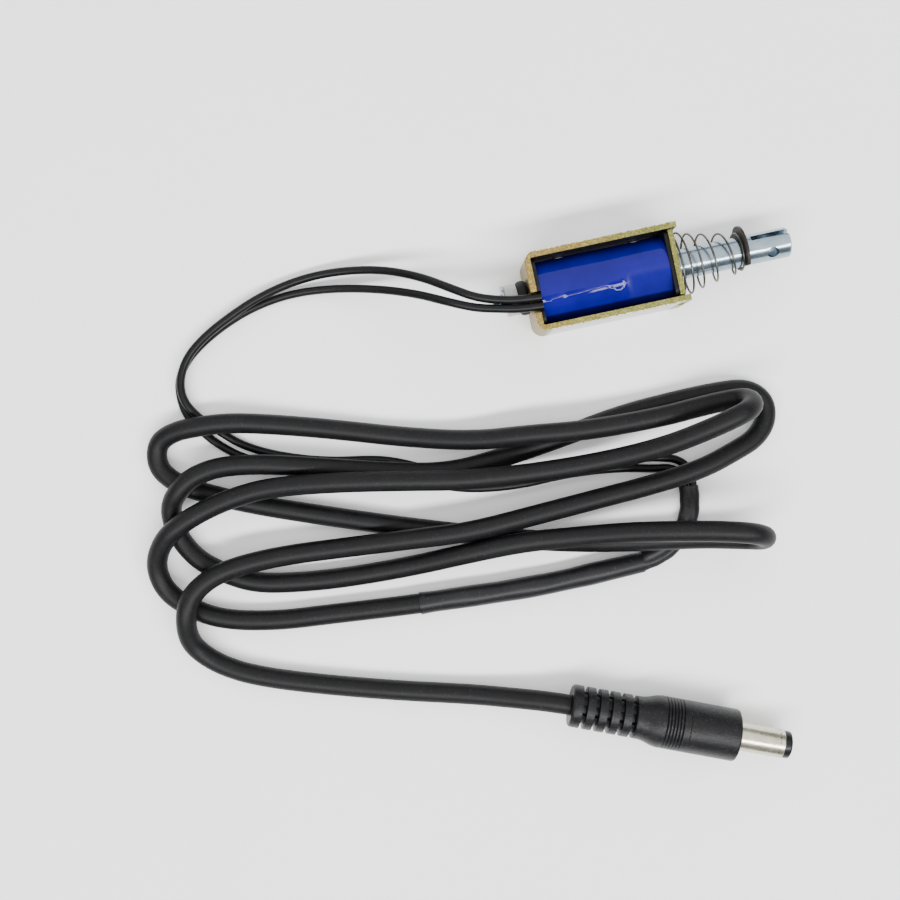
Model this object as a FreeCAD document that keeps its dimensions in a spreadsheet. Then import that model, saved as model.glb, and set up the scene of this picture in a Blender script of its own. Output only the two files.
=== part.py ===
import FreeCAD, Part
import math
import os

import Sketcher
from FreeCAD import Placement, Rotation, Vector

# A small push pull solenoid with its coiled supply lead, in millimetres.
# +X runs along the plunger towards its slotted end, +Z is up from the table, z = 0 is the table, and the
# origin is the middle of the frame's plan, on the frame's lower rim.

os.makedirs("parts", exist_ok=True)
doc = FreeCAD.newDocument("push_pull_solenoid")
sheet = doc.addObject("Spreadsheet::Sheet", "Params")

# ---------------------------------------------------------------- sizes
SIZES = [
    ("frame_length", 29.2, "U strip, rear face to the ends of the legs"),
    ("frame_width", 15.2, "outside the legs"),
    ("frame_height", 13.4, "height of the strip"),
    ("frame_wall", 1.2, "thickness of the strip"),
    ("frame_bend", 2.2, "outer radius of the two bends"),
    ("inner_bend", 0.3, "inner radius of the two bends, coined nearly sharp"),
    ("axis_height", 6.7, "plunger axis above the table"),
    ("notch_floor", 11.6, "height of the floor of the wire notch"),
    ("notch_near", 3.7, "wire notch, side near the south leg, from the frame's outer face"),
    ("notch_wide", 3.9, "width of the wire notch"),
    ("tap_radius", 1.25, "tapping radius of the two side holes"),
    ("tap_spacing", 14.8, "distance between the side holes"),
    ("plate_thick", 1.1, "front plate"),
    ("plate_inset", 0.8, "front plate's face behind the ends of the legs"),
    ("plate_gap", 0.2, "gap between the plate's sides and the legs, and under the plate"),
    ("tenon_tall", 6.0, "height of the plate's tenons and of their slots"),
    ("tenon_proud", 0.25, "tenons beyond the outer face of the legs"),
    ("flange_thick", 0.7, "bobbin flanges"),
    ("flange_gap", 0.1, "free space between a bobbin flange and each leg"),
    ("flange_tall", 12.8, "bobbin flanges, high"),
    ("flange_corner", 1.4, "corner radius of the flanges"),
    ("bobbin_tube", 4.0, "outer radius of the bobbin's tube"),
    ("tape_thick", 0.3, "layers of tape over the winding"),
    ("coil_gap", 0.1, "free space between the tape and each leg"),
    ("plunger_radius", 2.9, "plunger"),
    ("guide_gap", 0.08, "running gap between plunger and guide sleeve"),
    ("guide_wall", 0.32, "wall of the guide sleeve"),
    ("core_length", 9.2, "fixed core with its spigot"),
    ("spigot_radius", 2.6, "core's spigot and the hole in the rear wall"),
    ("rod_radius", 1.5, "push rod"),
    ("rod_gap", 0.05, "running gap between push rod and core"),
    ("stroke", 10.0, "travel of the plunger"),
    ("residual_gap", 0.3, "air left between plunger and core at the end of the stroke"),
    ("plunger_length", 31.5, "plunger, whole length"),
    ("plunger_chamfer", 0.35, "plunger's edges"),
    ("rod_depth", 4.0, "push rod inside the plunger"),
    ("front_groove_at", 22.05, "front clip's groove, from the plunger's inner end"),
    ("groove_radius", 2.3, "bottom of the front clip's groove"),
    ("front_clip_thick", 0.6, "front clip"),
    ("clip_side_gap", 0.05, "free space beside the front clip in its groove"),
    ("clip_seat_gap", 0.05, "free space under the front clip's lugs"),
    ("front_clip_radius", 4.95, "front clip, outside"),
    ("clevis_slot_at", 24.1, "start of the slot, from the plunger's inner end"),
    ("clevis_slot_wide", 1.2, "width of the slot"),
    ("clevis_hole_at", 27.8, "cross hole, from the plunger's inner end"),
    ("clevis_hole_radius", 1.1, "cross hole"),
    ("clevis_roll", 37.0, "turn of the cross hole about the axis, degrees"),
    ("slot_turn", 13.0, "turn of the slot beyond the square to the cross hole, degrees"),
    ("stop_gap", 0.08, "between the rear wall and the bumper at rest"),
    ("bumper_length", 2.0, "rubber bumper"),
    ("bumper_radius", 3.35, "rubber bumper"),
    ("cushion_length", 2.5, "cushion washer"),
    ("cushion_radius", 3.05, "cushion washer"),
    ("rear_clip_thick", 0.5, "rear clip"),
    ("rear_clip_radius", 3.1, "rear clip, outside"),
    ("rear_groove_radius", 1.1, "bottom of the rear clip's groove"),
    ("rod_tip", 1.9, "push rod behind the rear clip"),
    ("tip_chamfer", 0.35, "push rod's tip"),
    ("spring_wire", 0.4, "diameter of the spring wire"),
    ("spring_gap", 0.1, "free space between the spring's large end and each leg"),
    ("spring_small", 3.5, "mean radius of the spring at the clip"),
    ("cable_radius", 2.0, "supply cable"),
    ("lead_radius", 0.825, "insulated lead wires"),
    ("flat_sleeve_wide", 4.0, "sleeve over the two leads"),
    ("flat_sleeve_tall", 2.5, "sleeve over the two leads"),
    ("splice_radius", 2.25, "sleeve over the splice"),
    ("plug_turn", 22.4, "plug, clockwise from +X, degrees"),
    ("plug_axis", 5.0, "plug's axis above the table, and its largest radius"),
    ("relief_first", 2.0, "first rib of the strain relief, at the cable"),
    ("relief_radius", 4.1, "ribs of the strain relief"),
    ("relief_root", 3.2, "strain relief between its ribs"),
    ("relief_groove", 0.9, "width of each gap between ribs"),
    ("relief_pitch", 2.4, "from one gap to the next, of five"),
    ("collar_radius", 4.1, "collar between strain relief and flare"),
    ("collar_length", 2.3, "collar between strain relief and flare"),
    ("flare_length", 2.8, "flare from the collar to the body"),
    ("body_length", 15.8, "straight part of the plug's body"),
    ("body_edge", 0.7, "bevel of the body's front edge"),
    ("barrel_radius", 2.75, "plug's barrel"),
    ("barrel_wall", 0.3, "plug's barrel"),
    ("barrel_length", 8.3, "barrel in front of the body"),
    ("barrel_root", 3.0, "barrel, insulator and contact inside the body"),
    ("barrel_foot", 0.6, "foot of the barrel inside the body, beyond its radius"),
    ("tip_length", 2.0, "insulator in front of the barrel"),
    ("tip_radius", 2.55, "insulator in front of the barrel"),
    ("contact_radius", 1.05, "bore of the centre contact"),
    ("contact_wall", 0.3, "centre contact"),
    ("contact_recess", 1.2, "centre contact behind the insulator's face"),
]
for row, (alias, number, meaning) in enumerate(SIZES, start=1):
    sheet.set("A%d" % row, meaning)
    sheet.set("B%d" % row, str(number))
    sheet.setAlias("B%d" % row, alias)
doc.recompute()


def size(alias):
    """The number that the sheet holds for a name."""
    return float(sheet.get(alias))


# ---------------------------------------------------------------- sketch helpers
def origin_plane(body, role):
    return [plane for plane in body.Origin.OriginFeatures if plane.Role == role][0]


def sketch(body, name, role, offset=None):
    """A sketch on one of the body's own planes, moved along the plane's normal by an expression."""
    drawn = body.newObject("Sketcher::SketchObject", name)
    drawn.AttachmentSupport = (origin_plane(body, role), [""])
    drawn.MapMode = "FlatFace"
    if offset:
        drawn.setExpression("AttachmentOffset.Base.z", offset)
    return drawn


def bind(drawn, kind, geometry, point, text):
    """Hold one coordinate of a point at the value of an expression, measured from the sketch's origin."""
    if text == "0":
        axis = -2 if kind == "DistanceX" else -1
        drawn.addConstraint(Sketcher.Constraint("PointOnObject", geometry, point, axis))
    elif text.startswith("-"):
        index = drawn.addConstraint(Sketcher.Constraint(kind, geometry, point, -1, 1, 1.0))
        drawn.setExpression("Constraints[%d]" % index, text[1:])
    else:
        index = drawn.addConstraint(Sketcher.Constraint(kind, -1, 1, geometry, point, 1.0))
        drawn.setExpression("Constraints[%d]" % index, text)


def polygon(drawn, corners):
    """A closed outline whose corners are pairs of expressions; it is drawn as a ring and then pulled to them."""
    first = drawn.GeometryCount
    count = len(corners)
    ring = size("frame_width") / 2
    spots = [Vector(ring * math.cos(2 * math.pi * k / count), ring * math.sin(2 * math.pi * k / count), 0)
             for k in range(count)]
    for k in range(count):
        drawn.addGeometry(Part.LineSegment(spots[k], spots[(k + 1) % count]), False)
    for k in range(count):
        drawn.addConstraint(Sketcher.Constraint("Coincident", first + k, 2, first + (k + 1) % count, 1))
    for k, (across, up) in enumerate(corners):
        bind(drawn, "DistanceX", first + k, 1, across)
        bind(drawn, "DistanceY", first + k, 1, up)


def box_outline(drawn, left, low, right, high):
    polygon(drawn, [(left, low), (right, low), (right, high), (left, high)])


def circle(drawn, across, up, radius):
    index = drawn.addGeometry(Part.Circle(Vector(1, 1, 0), Vector(0, 0, 1), 2.0), False)
    bind(drawn, "DistanceX", index, 3, across)
    bind(drawn, "DistanceY", index, 3, up)
    held = drawn.addConstraint(Sketcher.Constraint("Radius", index, 2.0))
    drawn.setExpression("Constraints[%d]" % held, radius)


# ---------------------------------------------------------------- body helpers
def new_body(label, place, turn=None, about=Vector(1, 0, 0)):
    """A body named after its piece, its origin and its turn bound to expressions."""
    body = doc.addObject("PartDesign::Body", label)
    body.Label = label
    if turn:
        body.Placement = Placement(Vector(0, 0, 0), Rotation(about, 1.0))
        body.setExpression("Placement.Rotation.Angle", turn)
    for key, text in zip("xyz", place):
        if text != "0":
            body.setExpression("Placement.Base." + key, text)
    return body


def pad(body, name, drawn, length):
    made = body.newObject("PartDesign::Pad", name)
    made.Profile = drawn
    made.setExpression("Length", length)
    drawn.Visibility = False
    doc.recompute()
    return made


def cut_through(body, name, drawn):
    """Cut along the sketch's normal, both ways, through everything in the body."""
    before = body.Shape.Volume
    made = body.newObject("PartDesign::Pocket", name)
    made.Profile = drawn
    made.Type = 1
    made.Midplane = True
    doc.recompute()
    if body.Shape.Volume > before - 0.001:
        raise ValueError(name + " cuts nothing")
    return made


def cut_depth(body, name, drawn, depth, flip=False):
    before = body.Shape.Volume
    made = body.newObject("PartDesign::Pocket", name)
    made.Profile = drawn
    made.setExpression("Length", depth)
    made.Reversed = flip
    doc.recompute()
    if body.Shape.Volume > before - 0.001:
        raise ValueError(name + " cuts nothing")
    return made


def turned(body, name, corners):
    """A round piece: an outline of (along, radius) expressions turned about the body's X axis."""
    drawn = sketch(body, name + "_outline", "XY_Plane")
    polygon(drawn, corners)
    doc.recompute()
    made = body.newObject("PartDesign::Revolution", name)
    made.Profile = drawn
    made.ReferenceAxis = (drawn, ["H_Axis"])
    made.Angle = 360.0
    doc.recompute()
    return made


def tube(label, place, length, inner, outer):
    body = new_body(label, place)
    turned(body, label + "_wall", [("0", inner), (length, inner), (length, outer), ("0", outer)])
    return body


def rounding(body, name, feature, radius, wanted):
    """Round the edges whose middle passes a test."""
    names = []
    for number, edge in enumerate(feature.Shape.Edges, start=1):
        middle = edge.valueAt((edge.FirstParameter + edge.LastParameter) / 2)
        if wanted(edge, middle):
            names.append("Edge%d" % number)
    made = body.newObject("PartDesign::Fillet", name)
    made.Base = (feature, names)
    made.setExpression("Radius", radius)
    doc.recompute()
    return made


def runs_along(edge, direction):
    if not isinstance(edge.Curve, Part.Line):
        return False
    return abs(edge.Curve.Direction.dot(direction)) > 0.99


# ---------------------------------------------------------------- shared positions, as expressions
REAR = "-Params.frame_length / 2"
SOUTH = "-Params.frame_width / 2"
AXIS = "Params.axis_height"
MIDDLE = "Params.frame_width / 2"
INNER_REAR = "-Params.frame_length / 2 + Params.frame_wall"
INNER_LENGTH = "Params.frame_length - Params.frame_wall - Params.plate_inset - Params.plate_thick"
WINDING_START = "-Params.frame_length / 2 + Params.frame_wall + Params.flange_thick"
WINDING_LENGTH = "(%s) - 2 * Params.flange_thick" % INNER_LENGTH
TAPE_RADIUS = "(Params.frame_width / 2 - Params.frame_wall - Params.coil_gap)"
WINDING_RADIUS = "(Params.frame_width / 2 - Params.frame_wall - Params.coil_gap - Params.tape_thick)"
PLATE_START = "Params.frame_length / 2 - Params.plate_inset - Params.plate_thick"
GUIDE_INNER = "Params.plunger_radius + Params.guide_gap"
GUIDE_OUTER = "Params.plunger_radius + Params.guide_gap + Params.guide_wall"
TENON_LOW = "Params.axis_height - Params.tenon_tall / 2"
TENON_HIGH = "Params.axis_height + Params.tenon_tall / 2"
PLUNGER_START = "-Params.frame_length / 2 + Params.core_length + Params.stroke + Params.residual_gap"
STOP_LENGTH = "(Params.stop_gap + Params.bumper_length + Params.cushion_length)"

# ---------------------------------------------------------------- frame
# A strip bent to a U seen from above: the rear wall and the two legs, open upwards and downwards.
frame = new_body("frame", (REAR, SOUTH, "0"))
plan = sketch(frame, "frame_plan", "XY_Plane")
polygon(plan, [
    ("0", "0"),
    ("Params.frame_length", "0"),
    ("Params.frame_length", "Params.frame_wall"),
    ("Params.frame_wall", "Params.frame_wall"),
    ("Params.frame_wall", "Params.frame_width - Params.frame_wall"),
    ("Params.frame_length", "Params.frame_width - Params.frame_wall"),
    ("Params.frame_length", "Params.frame_width"),
    ("0", "Params.frame_width"),
])
strip = pad(frame, "frame_strip", plan, "Params.frame_height")


def upright_at(along):
    def wanted(edge, middle):
        return runs_along(edge, Vector(0, 0, 1)) and abs(middle.x - along) < 0.05
    return wanted


outer_bends = rounding(frame, "outer_bends", strip, "Params.frame_bend", upright_at(0.0))
inner_bends = rounding(frame, "inner_bends", outer_bends, "Params.inner_bend",
                       upright_at(size("frame_wall")))
bore = sketch(frame, "rear_hole_outline", "YZ_Plane")
circle(bore, MIDDLE, AXIS, "Params.spigot_radius")
cut_through(frame, "rear_hole", bore)
notch = sketch(frame, "wire_notch_outline", "YZ_Plane")
box_outline(notch, "Params.notch_near", "Params.notch_floor",
            "Params.notch_near + Params.notch_wide", "Params.frame_height + 1")
cut_through(frame, "wire_notch", notch)
slots = sketch(frame, "tenon_slots_outline", "XZ_Plane")
box_outline(slots, "Params.frame_length - Params.plate_inset - Params.plate_thick", TENON_LOW,
            "Params.frame_length - Params.plate_inset", TENON_HIGH)
cut_through(frame, "tenon_slots", slots)
tap = sketch(frame, "side_hole_outline", "XZ_Plane", "-Params.frame_width")
circle(tap, "Params.frame_length / 2 - Params.tap_spacing / 2", AXIS, "Params.tap_radius")
side_hole = cut_depth(frame, "side_hole", tap, "Params.frame_wall * 1.5", True)
side_holes = frame.newObject("PartDesign::LinearPattern", "side_holes")
side_holes.Originals = [side_hole]
side_holes.Direction = (tap, ["H_Axis"])
side_holes.setExpression("Length", "Params.tap_spacing")
side_holes.Occurrences = 2
frame.Tip = side_holes
doc.recompute()

# ---------------------------------------------------------------- front plate, tenoned through the legs
front_plate = new_body("front_plate", (PLATE_START, "-Params.frame_width / 2 - Params.tenon_proud", "0"))
INSET = "Params.tenon_proud + Params.frame_wall + Params.plate_gap"
FAR = "Params.tenon_proud + Params.frame_width - Params.frame_wall - Params.plate_gap"
SPAN = "Params.frame_width + 2 * Params.tenon_proud"
outline = sketch(front_plate, "front_plate_outline", "YZ_Plane")
polygon(outline, [
    (INSET, "Params.plate_gap"), (FAR, "Params.plate_gap"), (FAR, TENON_LOW), (SPAN, TENON_LOW),
    (SPAN, TENON_HIGH), (FAR, TENON_HIGH), (FAR, "Params.frame_height"), (INSET, "Params.frame_height"),
    (INSET, TENON_HIGH), ("0", TENON_HIGH), ("0", TENON_LOW), (INSET, TENON_LOW),
])
pad(front_plate, "front_plate_sheet", outline, "Params.plate_thick")
eye = sketch(front_plate, "front_plate_bore_outline", "YZ_Plane")
circle(eye, "Params.tenon_proud + " + MIDDLE, AXIS, GUIDE_OUTER)
cut_through(front_plate, "front_plate_bore", eye)

# ---------------------------------------------------------------- bobbin
bobbin = new_body("bobbin", (INNER_REAR, SOUTH, "0"))
FLANGE_LEFT = "Params.frame_wall + Params.flange_gap"
FLANGE_RIGHT = "Params.frame_width - Params.frame_wall - Params.flange_gap"
FLANGE = (FLANGE_LEFT, AXIS + " - Params.flange_tall / 2", FLANGE_RIGHT, AXIS + " + Params.flange_tall / 2")
barrel = sketch(bobbin, "bobbin_tube_outline", "YZ_Plane")
circle(barrel, MIDDLE, AXIS, "Params.bobbin_tube")
pad(bobbin, "bobbin_tube_pad", barrel, INNER_LENGTH)
rear_flange = sketch(bobbin, "rear_flange_outline", "YZ_Plane")
box_outline(rear_flange, *FLANGE)
pad(bobbin, "rear_flange", rear_flange, "Params.flange_thick")
front_flange = sketch(bobbin, "front_flange_outline", "YZ_Plane", "(%s) - Params.flange_thick" % INNER_LENGTH)
box_outline(front_flange, *FLANGE)
flanges = pad(bobbin, "front_flange", front_flange, "Params.flange_thick")


def flange_corner(edge, middle):
    half = size("frame_width") / 2 - size("frame_wall") - size("flange_gap")
    return runs_along(edge, Vector(1, 0, 0)) and abs(middle.y - size("frame_width") / 2) > half - 0.05


rounding(bobbin, "flange_corners", flanges, "Params.flange_corner", flange_corner)
# the rear flange's upright edges are cut away beside the frame's inner bends
BEVEL = "(Params.inner_bend - Params.flange_gap / 2)"
bends = sketch(bobbin, "bend_relief_outline", "XY_Plane")
polygon(bends, [("-0.5", FLANGE_LEFT + " - 0.5"), (BEVEL + " + 0.5", FLANGE_LEFT + " - 0.5"),
                ("-0.5", FLANGE_LEFT + " + " + BEVEL + " + 0.5")])
polygon(bends, [("-0.5", FLANGE_RIGHT + " + 0.5"), ("-0.5", FLANGE_RIGHT + " - " + BEVEL + " - 0.5"),
                (BEVEL + " + 0.5", FLANGE_RIGHT + " + 0.5")])
cut_through(bobbin, "bend_relief", bends)
hollow = sketch(bobbin, "bobbin_bore_outline", "YZ_Plane")
circle(hollow, MIDDLE, AXIS, GUIDE_OUTER)
cut_through(bobbin, "bobbin_bore", hollow)
pass_way = sketch(bobbin, "lead_notch_outline", "YZ_Plane", "Params.flange_thick")
box_outline(pass_way, "Params.notch_near", "Params.notch_floor",
            "Params.notch_near + Params.notch_wide", "Params.frame_height + 1")
cut_depth(bobbin, "lead_notch", pass_way, "Params.flange_thick")

# ---------------------------------------------------------------- inside the coil
tube("coil_winding", (WINDING_START, "0", AXIS), WINDING_LENGTH, "Params.bobbin_tube", WINDING_RADIUS)
tube("insulation_tape", (WINDING_START, "0", AXIS), WINDING_LENGTH, WINDING_RADIUS, TAPE_RADIUS)
tube("guide_sleeve", (INNER_REAR, "0", AXIS), "(%s) + Params.plate_thick" % INNER_LENGTH,
     GUIDE_INNER, GUIDE_OUTER)

fixed_core = new_body("fixed_core", (REAR, "0", AXIS))
turned(fixed_core, "core_body", [
    ("0", "Params.rod_radius + Params.rod_gap"),
    ("Params.core_length", "Params.rod_radius + Params.rod_gap"),
    ("Params.core_length", GUIDE_INNER),
    ("Params.frame_wall", GUIDE_INNER),
    ("Params.frame_wall", "Params.spigot_radius"),
    ("0", "Params.spigot_radius"),
])

# ---------------------------------------------------------------- plunger
plunger = new_body("plunger", (PLUNGER_START, "0", AXIS), "Params.clevis_roll")
GROOVE_END = "Params.front_groove_at + Params.front_clip_thick + 2 * Params.clip_side_gap"
turned(plunger, "plunger_bar", [
    ("0", "Params.rod_radius"),
    ("Params.rod_depth", "Params.rod_radius"),
    ("Params.rod_depth", "0"),
    ("Params.plunger_length", "0"),
    ("Params.plunger_length", "Params.plunger_radius - Params.plunger_chamfer"),
    ("Params.plunger_length - Params.plunger_chamfer", "Params.plunger_radius"),
    (GROOVE_END, "Params.plunger_radius"),
    (GROOVE_END, "Params.groove_radius"),
    ("Params.front_groove_at", "Params.groove_radius"),
    ("Params.front_groove_at", "Params.plunger_radius"),
    ("Params.plunger_chamfer", "Params.plunger_radius"),
    ("0", "Params.plunger_radius - Params.plunger_chamfer"),
])
slit = sketch(plunger, "clevis_slot_outline", "XZ_Plane")
slit.AttachmentOffset = Placement(Vector(0, 0, 0), Rotation(Vector(1, 0, 0), 1.0))
slit.setExpression("AttachmentOffset.Rotation.Angle", "Params.slot_turn")
box_outline(slit, "Params.clevis_slot_at", "-Params.clevis_slot_wide / 2",
            "Params.plunger_length + 1", "Params.clevis_slot_wide / 2")
cut_through(plunger, "clevis_slot", slit)
pin_way = sketch(plunger, "clevis_hole_outline", "XY_Plane")
circle(pin_way, "Params.clevis_hole_at", "0", "Params.clevis_hole_radius")
cut_through(plunger, "clevis_hole", pin_way)


# ---------------------------------------------------------------- E-clips
def e_clip(label, place, thick, outside, seat, shaft, lug, mouth, chord):
    """A ring with three lugs that reach the groove, a mouth towards -Y and its open side cut straight."""
    body = new_body(label, place)
    relief = "%s + 0.3" % shaft
    ring = sketch(body, label + "_ring_outline", "YZ_Plane")
    circle(ring, "0", "0", outside)
    circle(ring, "0", "0", relief)
    pad(body, label + "_ring", ring, thick)
    top_lug = sketch(body, label + "_top_lug_outline", "YZ_Plane")
    box_outline(top_lug, "0", "-%s / 2" % lug, relief + " + 0.3", "%s / 2" % lug)
    pad(body, label + "_top_lug", top_lug, thick)
    side_lugs = sketch(body, label + "_side_lugs_outline", "YZ_Plane")
    box_outline(side_lugs, "-%s / 1.2" % lug, "-(%s + 0.3)" % relief, "0", relief + " + 0.3")
    pad(body, label + "_side_lugs", side_lugs, thick)
    inside = sketch(body, label + "_seat_outline", "YZ_Plane")
    circle(inside, "0", "0", seat)
    cut_through(body, label + "_seat", inside)
    gate = sketch(body, label + "_mouth_outline", "YZ_Plane")
    box_outline(gate, "-(%s + 1)" % outside, "-%s / 2" % mouth, "0", "%s / 2" % mouth)
    cut_through(body, label + "_mouth", gate)
    side = sketch(body, label + "_chord_outline", "YZ_Plane")
    box_outline(side, "-(%s + 1)" % outside, "-(%s + 1)" % outside, "-%s" % chord, "%s + 1" % outside)
    cut_through(body, label + "_chord", side)
    return body


FRONT_CLIP_X = PLUNGER_START + " + Params.front_groove_at + Params.clip_side_gap"
e_clip("front_clip", (FRONT_CLIP_X, "0", AXIS), "Params.front_clip_thick", "Params.front_clip_radius",
       "Params.groove_radius + Params.clip_seat_gap", "Params.plunger_radius", "1.8",
       "(Params.groove_radius * 1.8)", "(Params.front_clip_radius * 0.63)")
e_clip("rear_clip", ("-Params.frame_length / 2 - (%s) - Params.rear_clip_thick" % STOP_LENGTH, "0", AXIS),
       "Params.rear_clip_thick", "Params.rear_clip_radius", "Params.rear_groove_radius",
       "Params.rod_radius", "1.2", "(Params.rear_groove_radius * 1.8)", "(Params.rear_clip_radius * 0.63)")

# ---------------------------------------------------------------- push rod and the stop on it
push_rod = new_body("push_rod", (
    "-Params.frame_length / 2 - (%s) - Params.rear_clip_thick - Params.rod_tip" % STOP_LENGTH, "0", AXIS))
ROD_LENGTH = ("Params.rod_tip + Params.rear_clip_thick + %s + Params.core_length + Params.stroke"
              " + Params.residual_gap + Params.rod_depth") % STOP_LENGTH
turned(push_rod, "rod_bar", [
    ("0", "0"),
    (ROD_LENGTH, "0"),
    (ROD_LENGTH, "Params.rod_radius"),
    ("Params.rod_tip + Params.rear_clip_thick", "Params.rod_radius"),
    ("Params.rod_tip + Params.rear_clip_thick", "Params.rear_groove_radius"),
    ("Params.rod_tip", "Params.rear_groove_radius"),
    ("Params.rod_tip", "Params.rod_radius"),
    ("Params.tip_chamfer", "Params.rod_radius"),
    ("0", "Params.rod_radius - Params.tip_chamfer"),
])
tube("bumper_ring", ("-Params.frame_length / 2 - Params.stop_gap - Params.bumper_length", "0", AXIS),
     "Params.bumper_length", "Params.rod_radius", "Params.bumper_radius")
tube("cushion_washer", ("-Params.frame_length / 2 - (%s)" % STOP_LENGTH, "0", AXIS),
     "Params.cushion_length", "Params.rod_radius", "Params.cushion_radius")


# ---------------------------------------------------------------- return spring
def plain_solid(label, shape):
    made = doc.addObject("Part::Feature", label)
    made.Label = label
    made.Shape = shape
    return made


# turns of the wire from the plate, and the share of the way from the plate to the clip reached by then
SPRING_RISE = [(0.0, 0.0), (0.64, 0.01), (1.14, 0.045), (1.64, 0.107), (2.14, 0.193), (2.64, 0.263),
               (3.14, 0.371), (3.64, 0.469), (4.14, 0.595), (4.64, 0.718), (5.14, 0.891), (5.64, 0.991),
               (6.2, 1.0)]
TURNS = 6.2
WIDE_TURNS = 1.7
CONE_TURNS = 4.2
WIRE_END = 560.0


def risen(turn):
    """Share of the way along the spring, on straight runs between the rows of SPRING_RISE."""
    turn = max(0.0, min(TURNS, turn))
    for (first, low), (last, high) in zip(SPRING_RISE, SPRING_RISE[1:]):
        if turn <= last:
            return low + (high - low) * (turn - first) / (last - first)
    return 1.0


def spring_point(turn, plate, clip):
    """A point on the spring's centre line: wide turns near the plate, a cone, then a closed small end."""
    wire = size("spring_wire")
    low = plate + wire / 2 + 0.01
    high = clip - wire / 2 - 0.01
    shifts = (-0.2, -0.1, 0.0, 0.1, 0.2)
    along = low + (high - low) * sum(risen(turn + shift) for shift in shifts) / len(shifts)
    share = max(0.0, min(1.0, (turn - WIDE_TURNS) / CONE_TURNS))
    large = size("frame_width") / 2 - size("frame_wall") - size("spring_gap") - wire / 2
    radius = large + (size("spring_small") - large) * share
    angle = math.radians(WIRE_END) + 2 * math.pi * (turn - TURNS)
    return Vector(along, radius * math.cos(angle), size("axis_height") + radius * math.sin(angle))


def rounded_path(label, points):
    """Straight runs joined by tangent arcs: each arc takes 0.45 of the shorter run beside its point."""
    edges = []
    last = points[0]
    tightest = 1000.0
    for before, corner, after in zip(points, points[1:], points[2:]):
        back = before - corner
        ahead = after - corner
        reach = 0.45 * min(back.Length, ahead.Length)
        back.normalize()
        ahead.normalize()
        half = (math.pi - back.getAngle(ahead)) / 2
        radius = reach / math.tan(half)
        tightest = min(tightest, radius)
        inwards = back + ahead
        inwards.normalize()
        centre = corner + inwards * (radius / math.cos(half))
        start = corner + back * reach
        end = corner + ahead * reach
        edges.append(Part.LineSegment(last, start).toShape())
        edges.append(Part.Arc(start, centre - inwards * radius, end).toShape())
        last = end
    edges.append(Part.LineSegment(last, points[-1]).toShape())
    path = Part.Wire(edges)
    print(label, "length %.1f mm, tightest radius %.2f mm" % (path.Length, tightest))
    return path


def wire_sweep(path, radius):
    """A round wire along a path, as one solid."""
    first = path.Edges[0]
    start = first.valueAt(first.FirstParameter)
    heading = first.tangentAt(first.FirstParameter)
    ring = Part.Wire([Part.makeCircle(radius, start, heading)])
    return path.makePipe(Part.Face(ring))


plate_face = size("frame_length") / 2 - size("plate_inset")
clip_face = (-size("frame_length") / 2 + size("core_length") + size("stroke") + size("residual_gap")
             + size("front_groove_at") + size("clip_side_gap"))
STEPS_A_TURN = 12
step_count = int(TURNS * STEPS_A_TURN)
centres = [spring_point(TURNS * k / step_count, plate_face, clip_face) for k in range(step_count + 1)]
plain_solid("return_spring", wire_sweep(rounded_path("return_spring", centres), size("spring_wire") / 2))


# ---------------------------------------------------------------- cords
def cord(label, points, radius):
    path = rounded_path(label, [Vector(*point) for point in points])
    solid = wire_sweep(path, radius)
    expected = math.pi * radius * radius * path.Length
    if abs(solid.Volume / expected - 1) > 0.01:
        raise ValueError(label + " volume is off")
    return plain_solid(label, solid)


lead_x = -size("frame_length") / 2 + size("frame_wall") + size("flange_thick") - 0.05
lead_z = size("notch_floor") + size("lead_radius") + 0.075

LEAD_A = [
    # out over the bobbin flange, through the notch, level over the stop's travel
    (lead_x, -1.1, lead_z), (-16.75, -0.85, 12.5), (-21.0, 0.05, 12.5), (-25.0, 1.5, 12.3), (-28.75, 4.0, 11.4),
    # down to the table
    (-34.25, 8.0, 8.4), (-41.5, 11.5, 4.8), (-50.25, 13.25, 2.4), (-58.0, 13.25, 1.7),
    # round the left bend on top of the other lead
    (-65.75, 11.5, 2.4), (-72.5, 8.75, 2.65), (-78.0, 6.0, 2.65), (-82.25, 2.75, 2.65), (-84.5, -1.25, 2.65),
    (-84.75, -5.25, 2.55), (-82.75, -9.0, 1.95), (-79.5, -12.5, 1.0),
    # beside it on the table, under the cable
    (-75.25, -16.5, 0.85), (-68.5, -20.0, 0.85), (-59.25, -23.0, 0.85), (-49.75, -24.5, 0.85),
    (-43.5, -27.0, 0.85), (-38.5, -30.0, 0.85), (-32.0, -32.5, 0.85), (-24.0, -33.75, 0.85),
    (-15.0, -33.5, 0.85), (-7.0, -34.0, 0.85), (-0.25, -35.0, 0.85),
    # into the flat sleeve
    (4.5, -35.75, 1.0), (8.5, -37.0, 1.2), (10.2, -40.0, 1.25), (9.95, -42.5, 1.25),
]
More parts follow.
